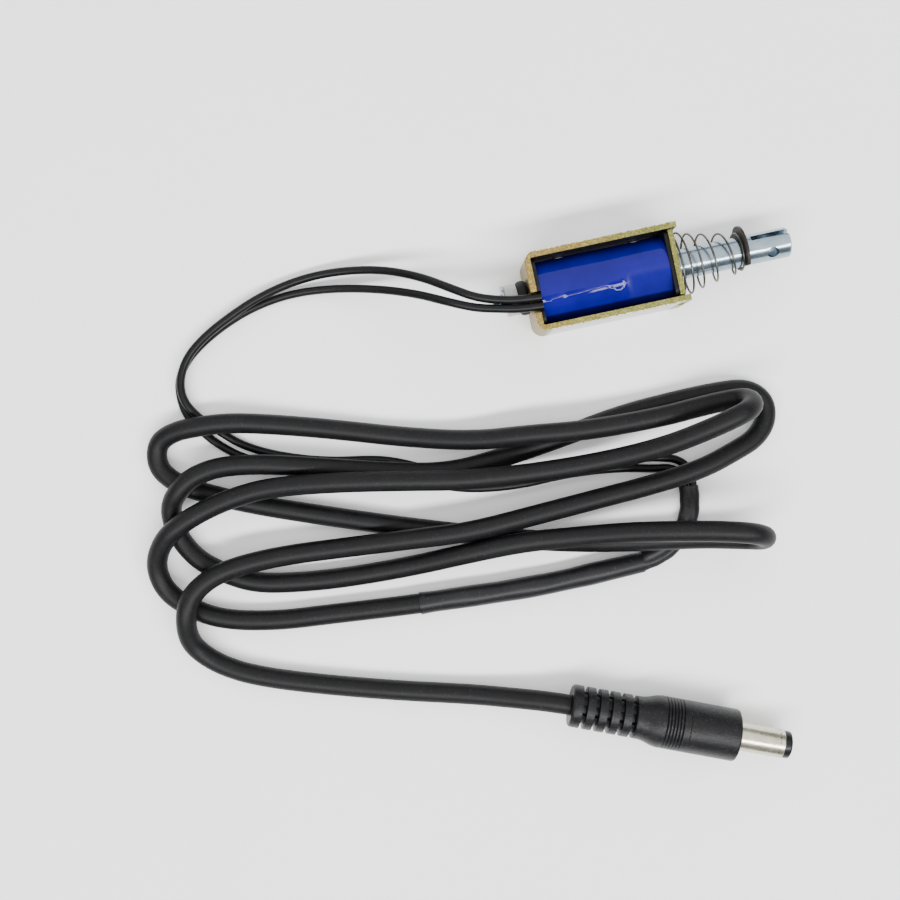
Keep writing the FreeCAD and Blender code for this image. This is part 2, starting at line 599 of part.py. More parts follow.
LEAD_B = [
    # out over the bobbin flange, through the notch, level over the stop's travel
    (lead_x, -2.8, lead_z), (-16.75, -2.55, 12.5), (-20.75, -1.65, 12.3), (-25.25, -0.5, 11.9), (-30.0, 1.75, 11.3),
    # down to the table
    (-35.75, 5.0, 8.2), (-43.25, 8.0, 4.6), (-52.0, 10.25, 1.9), (-60.0, 11.0, 0.85),
    # round the left bend
    (-67.25, 10.0, 0.85), (-73.25, 8.0, 0.85), (-78.75, 5.25, 0.85), (-82.75, 2.25, 0.85), (-85.0, -1.0, 0.85),
    (-85.5, -4.5, 0.85), (-85.0, -8.25, 0.85), (-82.75, -12.0, 0.85), (-79.75, -15.5, 0.85),
    # along the table, under the cable
    (-75.5, -19.0, 0.85), (-68.0, -22.25, 0.85), (-58.5, -25.0, 0.85), (-49.75, -26.5, 0.85),
    (-45.0, -28.5, 0.85), (-40.0, -31.75, 0.85), (-33.25, -34.25, 0.85), (-23.75, -35.5, 0.85),
    (-15.0, -35.25, 0.85), (-7.25, -35.75, 0.85), (-1.0, -36.75, 0.85),
    # into the flat sleeve
    (3.0, -37.75, 1.0), (6.5, -38.25, 1.2), (8.45, -40.25, 1.25), (8.23, -42.5, 1.25),
]
cord("lead_wire_a", LEAD_A, size("lead_radius"))
cord("lead_wire_b", LEAD_B, size("lead_radius"))

FLAT_SLEEVE = [
    (9.1, -42.5, 1.25), (8.85, -45.0, 1.25), (8.0, -48.25, 1.25), (6.0, -51.25, 1.25), (3.0, -53.5, 1.25),
    (0.0, -54.75, 1.25), (-3.0, -55.2, 1.25),
]
flat_path = rounded_path("lead_sleeve", [Vector(*point) for point in FLAT_SLEEVE])
flat_half = size("flat_sleeve_tall") / 2
flat_run = size("flat_sleeve_wide") / 2 - flat_half
heading = Vector(-0.25, -2.5, 0).normalize()
across = heading.cross(Vector(0, 0, 1))
start_point = Vector(*FLAT_SLEEVE[0])
upward = Vector(0, 0, flat_half)
right_end = start_point + across * flat_run
left_end = start_point - across * flat_run
flat_ring = Part.Wire([
    Part.LineSegment(left_end + upward, right_end + upward).toShape(),
    Part.Arc(right_end + upward, right_end + across * flat_half, right_end - upward).toShape(),
    Part.LineSegment(right_end - upward, left_end - upward).toShape(),
    Part.Arc(left_end - upward, left_end - across * flat_half, left_end + upward).toShape(),
])
plain_solid("lead_sleeve", flat_path.makePipe(Part.Face(flat_ring)))

SPLICE = [
    (-3.0, -55.2, 2.25), (-9.5, -55.25, 2.25), (-18.0, -55.5, 2.25), (-28.0, -55.3, 2.25), (-38.0, -54.65, 2.25),
    (-47.5, -54.0, 2.25),
]
cord("splice_sleeve", SPLICE, size("splice_radius"))

CABLE = [
    # from the sleeve along the table to the first left-hand bend, which climbs
    (-47.5, -54.0, 2.25), (-54.0, -53.5, 2.1), (-64.5, -52.5, 2.0), (-76.0, -51.5, 2.0), (-86.5, -49.0, 2.0),
    (-92.5, -45.0, 2.0), (-96.0, -41.0, 2.3), (-96.5, -36.0, 3.6), (-94.0, -32.0, 6.0), (-90.5, -29.5, 7.8),
    # second strand, over the bends below it and up to the small loop
    (-85.5, -27.5, 7.4), (-79.0, -26.0, 6.4), (-71.0, -25.5, 6.4), (-59.5, -27.0, 7.4), (-46.0, -29.5, 7.9),
    (-34.0, -32.0, 7.8), (-19.5, -33.5, 7.4), (-6.0, -34.0, 8.0), (4.5, -33.5, 10.5), (12.5, -32.0, 13.2),
    # the small loop
    (18.5, -30.5, 14.8), (22.0, -29.5, 12.4), (22.5, -28.0, 8.9), (20.5, -27.5, 6.5),
    # third strand, back along the top and over the leads to the next left-hand bend
    (14.5, -27.5, 6.3), (5.5, -28.0, 6.3), (-9.0, -27.5, 6.3), (-20.0, -26.0, 6.3), (-30.5, -25.0, 3.8),
    (-43.5, -21.5, 2.0), (-58.5, -16.5, 2.1), (-70.5, -13.0, 3.2), (-77.0, -11.5, 4.4), (-83.0, -11.0, 4.5),
    (-87.5, -11.0, 3.8), (-91.5, -12.5, 2.6), (-92.5, -17.0, 2.0), (-90.0, -20.5, 2.0),
    # fourth strand, on the table under the crossings and over the sleeve
    (-85.5, -23.5, 2.0), (-76.0, -28.0, 2.0), (-63.0, -33.0, 2.0), (-46.5, -39.0, 2.0), (-31.5, -44.0, 2.0),
    (-18.0, -48.0, 2.3), (-5.0, -50.5, 4.5), (8.0, -52.5, 4.9),
    # the upright loop
    (16.5, -54.5, 5.0), (19.5, -55.0, 8.0), (19.5, -54.0, 11.8), (16.5, -52.5, 14.4),
    # fifth strand, on top of the fourth and down to the table
    (11.0, -51.0, 14.0), (3.5, -49.5, 12.8), (-5.5, -48.0, 10.4), (-15.5, -47.0, 7.6), (-25.0, -46.0, 6.7),
    (-35.0, -46.0, 5.6), (-48.0, -46.5, 2.4), (-61.0, -46.0, 2.0), (-70.0, -45.0, 2.0), (-78.0, -43.5, 2.0),
    (-83.5, -40.5, 2.0), (-88.0, -37.0, 2.0), (-90.5, -33.0, 2.2), (-91.5, -29.0, 3.0), (-91.0, -25.0, 4.5),
    (-88.5, -22.5, 6.2),
    # sixth strand, over the leads and out along the table
    (-85.5, -20.5, 6.4), (-80.5, -19.5, 5.6), (-73.0, -20.5, 4.0), (-62.0, -23.5, 3.9), (-48.0, -27.5, 3.9),
    (-37.0, -30.0, 3.8), (-26.5, -29.5, 2.2), (-14.0, -28.0, 2.0), (-1.5, -26.0, 2.0), (10.0, -25.5, 2.0),
    (18.0, -25.5, 2.0),
    # the large loop
    (24.0, -26.0, 2.0), (27.0, -29.0, 2.0), (26.5, -33.0, 2.3), (23.5, -36.0, 2.9),
    # seventh strand, over everything below it to the last left-hand bend
    (19.0, -37.5, 3.6), (12.0, -39.5, 4.5), (2.0, -40.5, 4.9), (-10.0, -41.0, 5.1), (-23.0, -41.5, 6.1),
    (-35.0, -42.0, 6.4), (-46.5, -41.0, 6.3), (-59.5, -40.0, 4.8), (-71.0, -39.0, 5.2), (-79.5, -39.0, 6.3),
    (-85.5, -40.0, 6.5), (-90.0, -42.5, 6.5), (-92.0, -46.0, 6.5), (-93.0, -50.5, 4.4), (-92.0, -54.0, 2.7),
    (-88.0, -58.0, 2.0),
    # last strand, on the table and up to the plug's axis
    (-81.5, -61.5, 2.0), (-70.0, -65.5, 2.0), (-55.0, -70.0, 2.0), (-41.5, -73.5, 2.2), (-32.5, -76.0, 3.6),
    (-27.0, -77.5, 4.8), (-23.0, -79.0, 5.0),
]
cord("cable", CABLE, size("cable_radius"))


# ---------------------------------------------------------------- plug, along its own X axis from the cable
def plug_piece(label, steps_forward):
    """A body on the plug's axis, a number of millimetres, as expressions, in front of the cable's end."""
    reach = "(" + " + ".join(steps_forward or ["0"]) + ")"
    return new_body(label, ("-23 + %s * cos(Params.plug_turn)" % reach,
                            "-79 - %s * sin(Params.plug_turn)" % reach, "Params.plug_axis"),
                    "Params.plug_turn", Vector(0, 0, -1))


RELIEF = "(Params.relief_first + 4 * Params.relief_pitch + Params.relief_groove)"
strain_relief = plug_piece("strain_relief", [])
turned(strain_relief, "relief_bar", [
    ("0", "0"), (RELIEF, "0"), (RELIEF, "Params.relief_radius"), ("0", "Params.relief_radius"),
])
ring_cut = sketch(strain_relief, "relief_gap_outline", "XY_Plane")
box_outline(ring_cut, "Params.relief_first", "Params.relief_root",
            "Params.relief_first + Params.relief_groove", "Params.relief_radius + 1")
doc.recompute()
gap = strain_relief.newObject("PartDesign::Groove", "relief_gap")
gap.Profile = ring_cut
gap.ReferenceAxis = (ring_cut, ["H_Axis"])
gap.Angle = 360.0
doc.recompute()
ribs = strain_relief.newObject("PartDesign::LinearPattern", "relief_ribs")
ribs.Originals = [gap]
ribs.Direction = (ring_cut, ["H_Axis"])
ribs.setExpression("Length", "Params.relief_pitch * 4")
ribs.Occurrences = 5
strain_relief.Tip = ribs
doc.recompute()

plug_body = plug_piece("plug_body", [RELIEF])
BODY = "Params.collar_length + Params.flare_length"
FRONT = BODY + " + Params.body_length"
FOOT = "Params.barrel_radius + Params.barrel_foot"
turned(plug_body, "plug_shell", [
    ("0", "0"),
    (FRONT + " - Params.barrel_root", "0"),
    (FRONT + " - Params.barrel_root", FOOT),
    (FRONT + " - Params.barrel_foot", FOOT),
    (FRONT, "Params.barrel_radius"),
    (FRONT, "Params.plug_axis - Params.body_edge"),
    (FRONT + " - Params.body_edge", "Params.plug_axis"),
    (BODY, "Params.plug_axis"),
    ("Params.collar_length", "Params.collar_radius"),
    ("0", "Params.collar_radius"),
])
PLUG_FRONT = [RELIEF, "Params.collar_length", "Params.flare_length", "Params.body_length",
              "-Params.barrel_root"]
CORE = "Params.barrel_radius - Params.barrel_wall"
SOCKET = "Params.contact_radius + Params.contact_wall"
plug_barrel = plug_piece("plug_barrel", PLUG_FRONT)
turned(plug_barrel, "barrel_tube", [
    ("0", CORE),
    ("Params.barrel_root + Params.barrel_length", CORE),
    ("Params.barrel_root + Params.barrel_length", "Params.barrel_radius"),
    ("Params.barrel_root", "Params.barrel_radius"),
    ("Params.barrel_root - Params.barrel_foot", FOOT),
    ("0", FOOT),
])
plug_insulator = plug_piece("plug_insulator", PLUG_FRONT)
LONG = "Params.barrel_root + Params.barrel_length"
turned(plug_insulator, "insulator_bar", [
    ("0", SOCKET),
    (LONG + " + Params.tip_length - Params.contact_recess", SOCKET),
    (LONG + " + Params.tip_length - Params.contact_recess", "Params.contact_radius"),
    (LONG + " + Params.tip_length", "Params.contact_radius"),
    (LONG + " + Params.tip_length", "Params.tip_radius"),
    (LONG, "Params.tip_radius"),
    (LONG, CORE),
    ("0", CORE),
])
plug_center_contact = plug_piece("plug_center_contact", PLUG_FRONT)
turned(plug_center_contact, "contact_tube", [
    ("0", "0"),
    ("1", "0"),
    ("1", "Params.contact_radius"),
    (LONG + " + Params.tip_length - Params.contact_recess", "Params.contact_radius"),
    (LONG + " + Params.tip_length - Params.contact_recess", SOCKET),
    ("0", SOCKET),
])

# ---------------------------------------------------------------- checks and files
doc.recompute()
NODES = [
    "frame", "front_plate", "bobbin", "coil_winding", "insulation_tape", "guide_sleeve", "fixed_core",
    "return_spring", "front_clip", "plunger", "push_rod", "bumper_ring", "cushion_washer", "rear_clip",
    "lead_wire_a", "lead_wire_b", "lead_sleeve", "splice_sleeve", "cable", "strain_relief", "plug_body",
    "plug_barrel", "plug_insulator", "plug_center_contact",
]
for thing in doc.Objects:
    if "Invalid" in thing.State or "Error" in thing.State:
        raise ValueError(thing.Name + " did not compute")
for label in NODES:
    piece = doc.getObject(label)
    shape = piece.Shape
    if shape.isNull() or not shape.isValid() or len(shape.Solids) != 1:
        raise ValueError("%s: valid %s, solids %d" % (label, shape.isValid(), len(shape.Solids)))
    box = shape.BoundBox
    print("%-20s vol %9.2f  x %8.2f %8.2f  y %8.2f %8.2f  z %6.2f %6.2f" % (
        label, shape.Volume, box.XMin, box.XMax, box.YMin, box.YMax, box.ZMin, box.ZMax))
    shape.exportStep("parts/%s.step" % label)
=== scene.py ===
import math

import bmesh
import bpy
import numpy as np
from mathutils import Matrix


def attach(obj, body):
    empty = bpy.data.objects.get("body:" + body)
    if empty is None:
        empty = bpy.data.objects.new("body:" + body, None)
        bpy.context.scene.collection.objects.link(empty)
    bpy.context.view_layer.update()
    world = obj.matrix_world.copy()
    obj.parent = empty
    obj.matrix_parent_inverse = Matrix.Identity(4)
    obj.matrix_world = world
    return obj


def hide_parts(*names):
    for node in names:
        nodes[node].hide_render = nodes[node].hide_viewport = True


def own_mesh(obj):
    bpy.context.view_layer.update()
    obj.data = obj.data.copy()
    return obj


# A small push pull solenoid with its looped lead and barrel plug, dressed for a studio view. The pieces are
# written in millimetres, and MM turns them into metres where they enter a mesh. North is +Y and south is -Y.
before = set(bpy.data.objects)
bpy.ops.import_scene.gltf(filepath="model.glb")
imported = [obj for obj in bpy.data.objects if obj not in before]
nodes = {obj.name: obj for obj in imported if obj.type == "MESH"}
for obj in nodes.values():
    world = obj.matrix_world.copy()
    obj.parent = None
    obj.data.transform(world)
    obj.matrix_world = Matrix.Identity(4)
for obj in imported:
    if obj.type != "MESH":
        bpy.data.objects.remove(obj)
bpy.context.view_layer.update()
MM = 0.001


# ---------------------------------------------------------------- driving sizes, in millimetres
# frame: y of the faces of its legs, x of the faces of its rear wall, z of its upper rim
LEG_OUTSIDE, LEG_INSIDE = 7.6, 6.4
WALL_OUTSIDE, WALL_INSIDE = -14.6, -13.4
STRIP_TOP = 13.4

# the spring's seats along the axis: the front plate's face and the front clip's
PLATE_FACE, CLIP_FACE = 13.8, 27.0

# push rod, and what sits on it behind the rear wall
BUMPER_FRONT = WALL_OUTSIDE - 0.08
BUMPER_REAR = BUMPER_FRONT - 2.0
CUSHION_REAR = BUMPER_REAR - 2.5
REAR_CLIP_REAR = CUSHION_REAR - 0.5
ROD_TIP = REAR_CLIP_REAR - 1.9
ROD_FRONT = 8.9
ROD_RADIUS, ROD_GROOVE, BUMPER_RADIUS, CUSHION_RADIUS = 1.5, 1.1, 3.35, 3.05

# tape over the winding
TAPE_REAR, TAPE_FRONT = -12.7, 12.0
TAPE_RADIUS, TAPE_BORE = 6.2, 6.0

# cords
CABLE_RADIUS, LEAD_RADIUS = 2.0, 0.825

# plug: distances along its axis from the end of the cable, and radii
RELIEF_LENGTH = 12.5
BODY_FRONT, BODY_RADIUS = 32.65, 5.0
RIB_RADIUS = 4.1
BARREL_ROOT, BARREL_FOOT, BARREL_END = 30.4, 32.05, 41.7
FOOT_RADIUS, BARREL_RADIUS, BARREL_BORE = 3.35, 2.75, 2.45
CONTACT_END, CONTACT_RADIUS, CONTACT_BORE = 42.5, 1.35, 1.05
TIP_END, TIP_RADIUS = 43.2, 2.6

# lines that the round pieces are turned about, each a point and a direction; the plug's is turned clockwise
SOLENOID = (np.array([0, 0, 6.7]), np.array([1.0, 0, 0]))
PLUG_TURN = math.radians(22.4)
PLUG = (np.array([-23, -79, 5.0]), np.array([math.cos(PLUG_TURN), -math.sin(PLUG_TURN), 0]))


def placed(name, data):
    """A new object at the origin that shows a mesh, a curve, a light or a camera."""
    held = bpy.data.objects.new(name, data)
    bpy.context.scene.collection.objects.link(held)
    return held


# ---------------------------------------------------------------- camera and lights
CAMERA_PLACE = (-0.036788, -0.022468, 0.230)
CAMERA_TURN = math.radians(-12.04)
LENS_LENGTH, SENSOR_WIDTH = 46.36, 36.0
SHIFT_ACROSS, SHIFT_UP = 1 / 90, -1 / 60

camera = placed("camera", bpy.data.cameras.new("camera"))
camera.location = CAMERA_PLACE
camera.rotation_euler = (0, 0, CAMERA_TURN)
camera.data.lens = LENS_LENGTH
camera.data.sensor_width = SENSOR_WIDTH
camera.data.shift_x = SHIFT_ACROSS
camera.data.shift_y = SHIFT_UP
camera.data.clip_start = 0.01
bpy.context.scene.camera = camera


def soft_box(name, place, aim, wide, deep, power):
    """A rectangular light at a place, turned so that it faces the aim."""
    lamp = bpy.data.lights.new(name, "AREA")
    lamp.shape = "RECTANGLE"
    lamp.size, lamp.size_y = wide, deep
    lamp.energy = power
    held = placed(name, lamp)
    held.location = place
    away = np.subtract(aim, place)
    held.rotation_euler = (math.atan2(math.hypot(away[0], away[1]), -away[2]), 0,
                           math.atan2(-away[0], away[1]))


soft_box("ceiling", place=(-0.03, 1.18, 0.80), aim=(-0.03, 1.18, 0), wide=1.8, deep=2.8, power=27.0)
soft_box("south_strip", place=(-0.03, -0.48, 0.80), aim=(-0.03, -0.02, 0), wide=1.4, deep=0.14, power=19.0)
world = bpy.data.worlds.new("studio")
bpy.context.scene.world = world
world.use_nodes = True
sky = world.node_tree.nodes["Background"]
sky.inputs["Color"].default_value = (0.95, 0.97, 1.0, 1)
sky.inputs["Strength"].default_value = 0.36


# ---------------------------------------------------------------- finishes
class Value:
    """A socket of a finish that takes part in sums: each operator adds one Math node."""

    def __init__(self, finish, socket):
        self.finish, self.socket = finish, socket

    def sum_with(self, operation, first, second):
        return self.finish.add("ShaderNodeMath", {"operation": operation}, {0: first, 1: second})

    def __add__(self, other):
        return self.sum_with("ADD", self, other)

    def __sub__(self, other):
        return self.sum_with("SUBTRACT", self, other)

    def __rsub__(self, other):
        return self.sum_with("SUBTRACT", other, self)

    def __mul__(self, other):
        return self.sum_with("MULTIPLY", self, other)

    def __abs__(self):
        return self.finish.add("ShaderNodeMath", {"operation": "ABSOLUTE"}, {0: self})

    __radd__ = __add__
    __rmul__ = __mul__


class Finish:
    """A material in the making; numbers that are the same all over go straight to the shader's sockets."""

    def __init__(self, name, **shader):
        self.material = bpy.data.materials.new(name)
        self.material.use_nodes = True
        self.tree = self.material.node_tree
        self.shader = self.tree.nodes["Principled BSDF"]
        for socket, number in shader.items():
            self.shader.inputs[socket.replace("_", " ")].default_value = number
        self.spot = self.add("ShaderNodeTexCoord", output="Object")

    def add(self, kind, settings=None, inputs=None, output=0):
        """A node of a kind: its settings first, with a ramp's stops as (place, colour), then its sockets'
        numbers or links. It gives one of the node's outputs."""
        node = self.tree.nodes.new(kind)
        for key, value in (settings or {}).items():
            if key == "stops":
                for index, (place, colour) in enumerate(value):
                    stops = node.color_ramp.elements
                    stop = stops[index] if index < 2 else stops.new(place)
                    stop.position = place
                    stop.color = (*colour, 1)
            else:
                setattr(node, key, value)
        for key, value in (inputs or {}).items():
            if isinstance(value, Value):
                self.tree.links.new(value.socket, node.inputs[key])
            else:
                node.inputs[key].default_value = value
        return Value(self, node.outputs[output])

    def stretch(self, scale, turn=(0, 0, 0)):
        """The object's coordinates, turned and stretched."""
        return self.add("ShaderNodeMapping", None, {"Vector": self.spot, "Rotation": turn, "Scale": scale})

    def noise(self, size_mm, detail=3.0, rough=0.55, where=None):
        """Noise from 0 to 1 with patches of about that size."""
        return self.add("ShaderNodeTexNoise", None,
                        {"Vector": where or self.spot, "Scale": 1000.0 / size_mm, "Detail": detail,
                         "Roughness": rough})

    def fade(self, value, off, full):
        """0 at off and beyond it, 1 at full and beyond it, even in between; either may be the larger."""
        return self.add("ShaderNodeMapRange", {"clamp": True},
                        {"Value": value, "From Min": off, "From Max": full})

    def tones(self, value, *stops):
        """Colours at stops (place, colour) of a value, blended evenly between them."""
        return self.add("ShaderNodeValToRGB", {"stops": stops}, {"Fac": value})

    def blend(self, mask, first, second):
        """The first colour where the mask is 0, the second where it is 1."""
        first, second = [shade if isinstance(shade, Value) else (*shade, 1) for shade in (first, second)]
        return self.add("ShaderNodeMix", {"data_type": "RGBA"}, {0: mask, 6: first, 7: second}, 2)

    def along(self, axis):
        """One of the object's coordinates, in millimetres."""
        return self.add("ShaderNodeSeparateXYZ", None, {0: self.spot}, axis) * 1000.0

    def set(self, socket, value):
        self.tree.links.new(value.socket, self.shader.inputs[socket])

    def bump(self, height, depth_mm):
        """Raise the surface by depth_mm where the height is 1."""
        raised = self.add("ShaderNodeBump", None,
                          {"Strength": 1.0, "Distance": depth_mm * MM, "Height": height})
        self.set("Normal", raised)


def zinc_yellow():
    """Yellow passivated zinc with a sheared, speckled grain: gold at the bent end and greener towards the
    front.
    Painted reflection: pale silver outside the legs, where they mirror the white table. Painted shade: dark
    navy on the legs' inner faces. Painted highlight: bright glint specks along their outer upper edges."""
    made = Finish("yellow_zinc", Metallic=0.96, IOR=1.6)
    patches = made.noise(4.0, 4.0, 0.6)
    grain = made.noise(0.26, 3.0, 0.75)
    x, y, z = made.along("X"), made.along("Y"), made.along("Z")
    sideways = abs(y)
    ragged = x + (patches - 0.5) * 2.0
    front = made.fade(x - 0.6 * y + (patches - 0.5) * 14.0, -12.0, 4.0)
    body = made.blend(front, (0.23, 0.16, 0.043), (0.17, 0.178, 0.047))
    pale = made.fade(made.noise(1.2, 3.0, 0.65), 0.50, 0.70)
    body = made.blend(pale * 0.25, body, (0.33, 0.27, 0.12))
    # painted reflection: the outside faces of the legs are painted pale silver where they mirror the white
    # table
    outside = made.fade(sideways, LEG_OUTSIDE - 0.10, LEG_OUTSIDE)
    table_reflection = outside * made.fade(ragged, -12.8, -11.6) * made.fade(ragged, 12.9, 12.5)
    cast = made.fade(made.noise(2.4, 4.0, 0.6), 0.42, 0.60)
    body = made.blend(table_reflection * 0.9, body, made.blend(cast, (0.74, 0.70, 0.77), (0.66, 0.69, 0.66)))
    specks = made.fade(grain, 0.54, 0.64) * (1.0 - 0.6 * table_reflection)
    body = made.blend(specks * 0.75, body, (0.52, 0.43, 0.18))
    dark = made.fade(grain, 0.47, 0.38) * (1.0 - 0.8 * table_reflection)
    body = made.blend(dark * 0.8, body, (0.10, 0.07, 0.02))
    # painted highlight: bright glint specks painted along the outer upper edges of the legs
    rim = made.fade(sideways, LEG_OUTSIDE - 0.20, LEG_OUTSIDE - 0.12)
    rim = rim * made.fade(sideways, LEG_OUTSIDE + 0.02, LEG_OUTSIDE - 0.02)
    glint_edge = rim * made.fade(z, STRIP_TOP - 0.25, STRIP_TOP - 0.12)
    body = made.blend(glint_edge * made.fade(grain, 0.44, 0.56), body, (0.95, 0.90, 0.60))
    # painted shade: the legs' inner faces, below the rim and ahead of the rear wall, are painted dark navy
    inner_face = made.fade(sideways, LEG_OUTSIDE - 0.30, LEG_OUTSIDE - 0.50)
    inner_face = inner_face * made.fade(sideways, LEG_INSIDE - 0.06, LEG_INSIDE - 0.02)
    below_rim = made.fade(z, STRIP_TOP - 0.10, STRIP_TOP - 0.30)
    shaded_inside = inner_face * below_rim * made.fade(x, WALL_INSIDE - 0.20, WALL_INSIDE + 0.10)
    body = made.blend(shaded_inside * 0.92, body, (0.035, 0.04, 0.06))
    made.set("Base Color", body)
    made.set("Roughness", 0.28 + 0.22 * grain)
    made.bump(grain + 0.5 * patches, 0.10)
    return made.material


def zinc_bright():
    """Bright zinc on turned bar: bluish, with rings from the lathe and dull patches."""
    made = Finish("bright_zinc", Metallic=1.0)
    rings = made.noise(0.16, 2.0, 0.6, made.stretch((1.0, 0.06, 0.06)))
    haze = made.noise(1.8, 4.0, 0.6, made.stretch((0.5, 1.0, 1.0)))
    made.set("Base Color", made.tones(haze, (0.30, (0.22, 0.28, 0.325)), (0.50, (0.265, 0.335, 0.385)),
                                      (0.72, (0.33, 0.39, 0.435))))
    made.set("Roughness", 0.14 + 0.10 * haze + 0.08 * rings)
    made.bump(rings * 0.8 + haze * 0.2, 0.006)
    return made.material


def plain_metal(name, tone, worn, rough, grain_mm=0.3):
    """A metal of two close tones with a fine grain."""
    made = Finish(name, Metallic=1.0)
    grain = made.noise(grain_mm, 3.0, 0.6)
    patch = made.noise(2.0, 3.0, 0.6)
    made.set("Base Color", made.blend(made.fade(patch, 0.35, 0.65), tone, worn))
    made.set("Roughness", rough + 0.15 * grain)
    made.bump(grain, 0.01)
    return made.material


def black_clip():
    """Blackened spring steel, browner where it is rubbed."""
    made = Finish("black_clip", Metallic=0.6)
    grain = made.noise(0.35, 4.0, 0.65)
    made.set("Base Color", made.tones(grain, (0.35, (0.012, 0.010, 0.009)), (0.62, (0.032, 0.024, 0.020)),
                                      (0.78, (0.07, 0.058, 0.05))))
    made.set("Roughness", 0.42 + 0.2 * grain)
    made.bump(grain, 0.02)
    return made.material


def soft_black(name, tone, rough, grain_mm, depth_mm, dust, shine=0.24):
    """Black vinyl or nylon: a fine matt grain, slightly paler patches and specks of dust."""
    made = Finish(name, Specular_IOR_Level=shine)
    grain = made.noise(grain_mm, 3.0, 0.6)
    patch = made.noise(grain_mm * 14, 3.0, 0.6)
    pale = tuple(number * 1.6 + 0.002 for number in tone)
    body = made.blend(made.fade(patch, 0.35, 0.75) * 0.6, tone, pale)
    specks = made.fade(made.noise(grain_mm * 1.6, 2.0, 0.5), 0.60, 0.74)
    made.set("Base Color", made.blend(specks * dust, body, (0.06, 0.06, 0.064)))
    made.set("Roughness", rough + 0.14 * patch - 0.07)
    made.bump(grain, depth_mm)
    return made.material


def blue_tape():
    """Glossy blue film over the winding: mirror-like, but dull on the south side of its front part."""
    made = Finish("tape_blue", Specular_IOR_Level=0.18)
    drift = made.noise(5.0, 3.0, 0.55)
    fine = made.noise(0.35, 3.0, 0.6)
    made.set("Base Color", made.tones(drift, (0.30, (0.005, 0.002, 0.13)), (0.55, (0.006, 0.003, 0.16)),
                                      (0.75, (0.008, 0.003, 0.19))))
    front = made.fade(made.along("X") + (drift - 0.5) * 3.0, 3.5, 5.0)
    south = made.fade(made.along("Y"), 1.0, -1.2)
    made.set("Roughness", 0.05 + 0.03 * fine + 0.88 * south * front)
    made.bump(drift * 0.7 + fine * 0.03, 0.03)
    return made.material


def copper_turns():
    """Enamelled wire in fine turns about X, smoother on the crown of each; paler crowns and darker grooves
    are painted highlight and painted shade.
    """
    made = Finish("copper_winding", Metallic=0.7)
    turns = made.add("ShaderNodeTexWave", {"bands_direction": "X", "wave_profile": "SIN"},
                     {"Vector": made.spot, "Scale": 800.0, "Distortion": 0.4})
    # painted highlight on each turn's crown and painted shade in the grooves between turns
    made.set("Base Color", made.tones(turns, (0.2, (0.20, 0.06, 0.02)), (0.8, (0.62, 0.25, 0.10))))
    made.set("Roughness", 0.45 - 0.15 * turns)
    made.bump(turns, 0.06)
    return made.material


def pale_cushion():
    """A pale, slightly milky plastic washer."""
    made = Finish("cushion_pale", Subsurface_Weight=0.35, Subsurface_Scale=0.0008, IOR=1.5)
    cloud = made.noise(0.9, 3.0, 0.6)
    made.set("Base Color", made.tones(cloud, (0.3, (0.38, 0.39, 0.37)), (0.7, (0.50, 0.51, 0.49))))
    made.set("Roughness", 0.34 + 0.15 * cloud)
    made.bump(cloud, 0.02)
    return made.material


def nickel():
    """Nickel plate with faint drawn streaks along the barrel and a ring of dark dots near its front: painted
    shade where crimp dents lie.
    """
    made = Finish("nickel", Metallic=1.0)
    start, heading = PLUG
    streaks = made.noise(0.30, 3.0, 0.6, made.stretch((0.05, 1.0, 1.0), (0, 0, PLUG_TURN)))
    haze = made.noise(1.5, 3.0, 0.6)
    body = made.tones(haze, (0.3, (0.50, 0.47, 0.36)), (0.7, (0.64, 0.605, 0.49)))
    reach = made.along("X") * heading[0] + made.along("Y") * heading[1] - start @ heading
    # painted shade: a ring of dark dots near the barrel's front stands for the shade in its crimp dents
    ring = made.fade(reach, BARREL_END - 1.15, BARREL_END - 1.05)
    ring = ring * made.fade(reach, BARREL_END - 0.75, BARREL_END - 0.85)
    crimp_shade_dots = ring * made.fade(made.noise(0.4, 2.0, 0.5), 0.50, 0.58)
    made.set("Base Color", made.blend(crimp_shade_dots * 0.85, body, (0.10, 0.08, 0.04)))
    made.set("Roughness", 0.16 + 0.14 * streaks + 0.06 * haze)
    made.bump(streaks, 0.008)
    return made.material


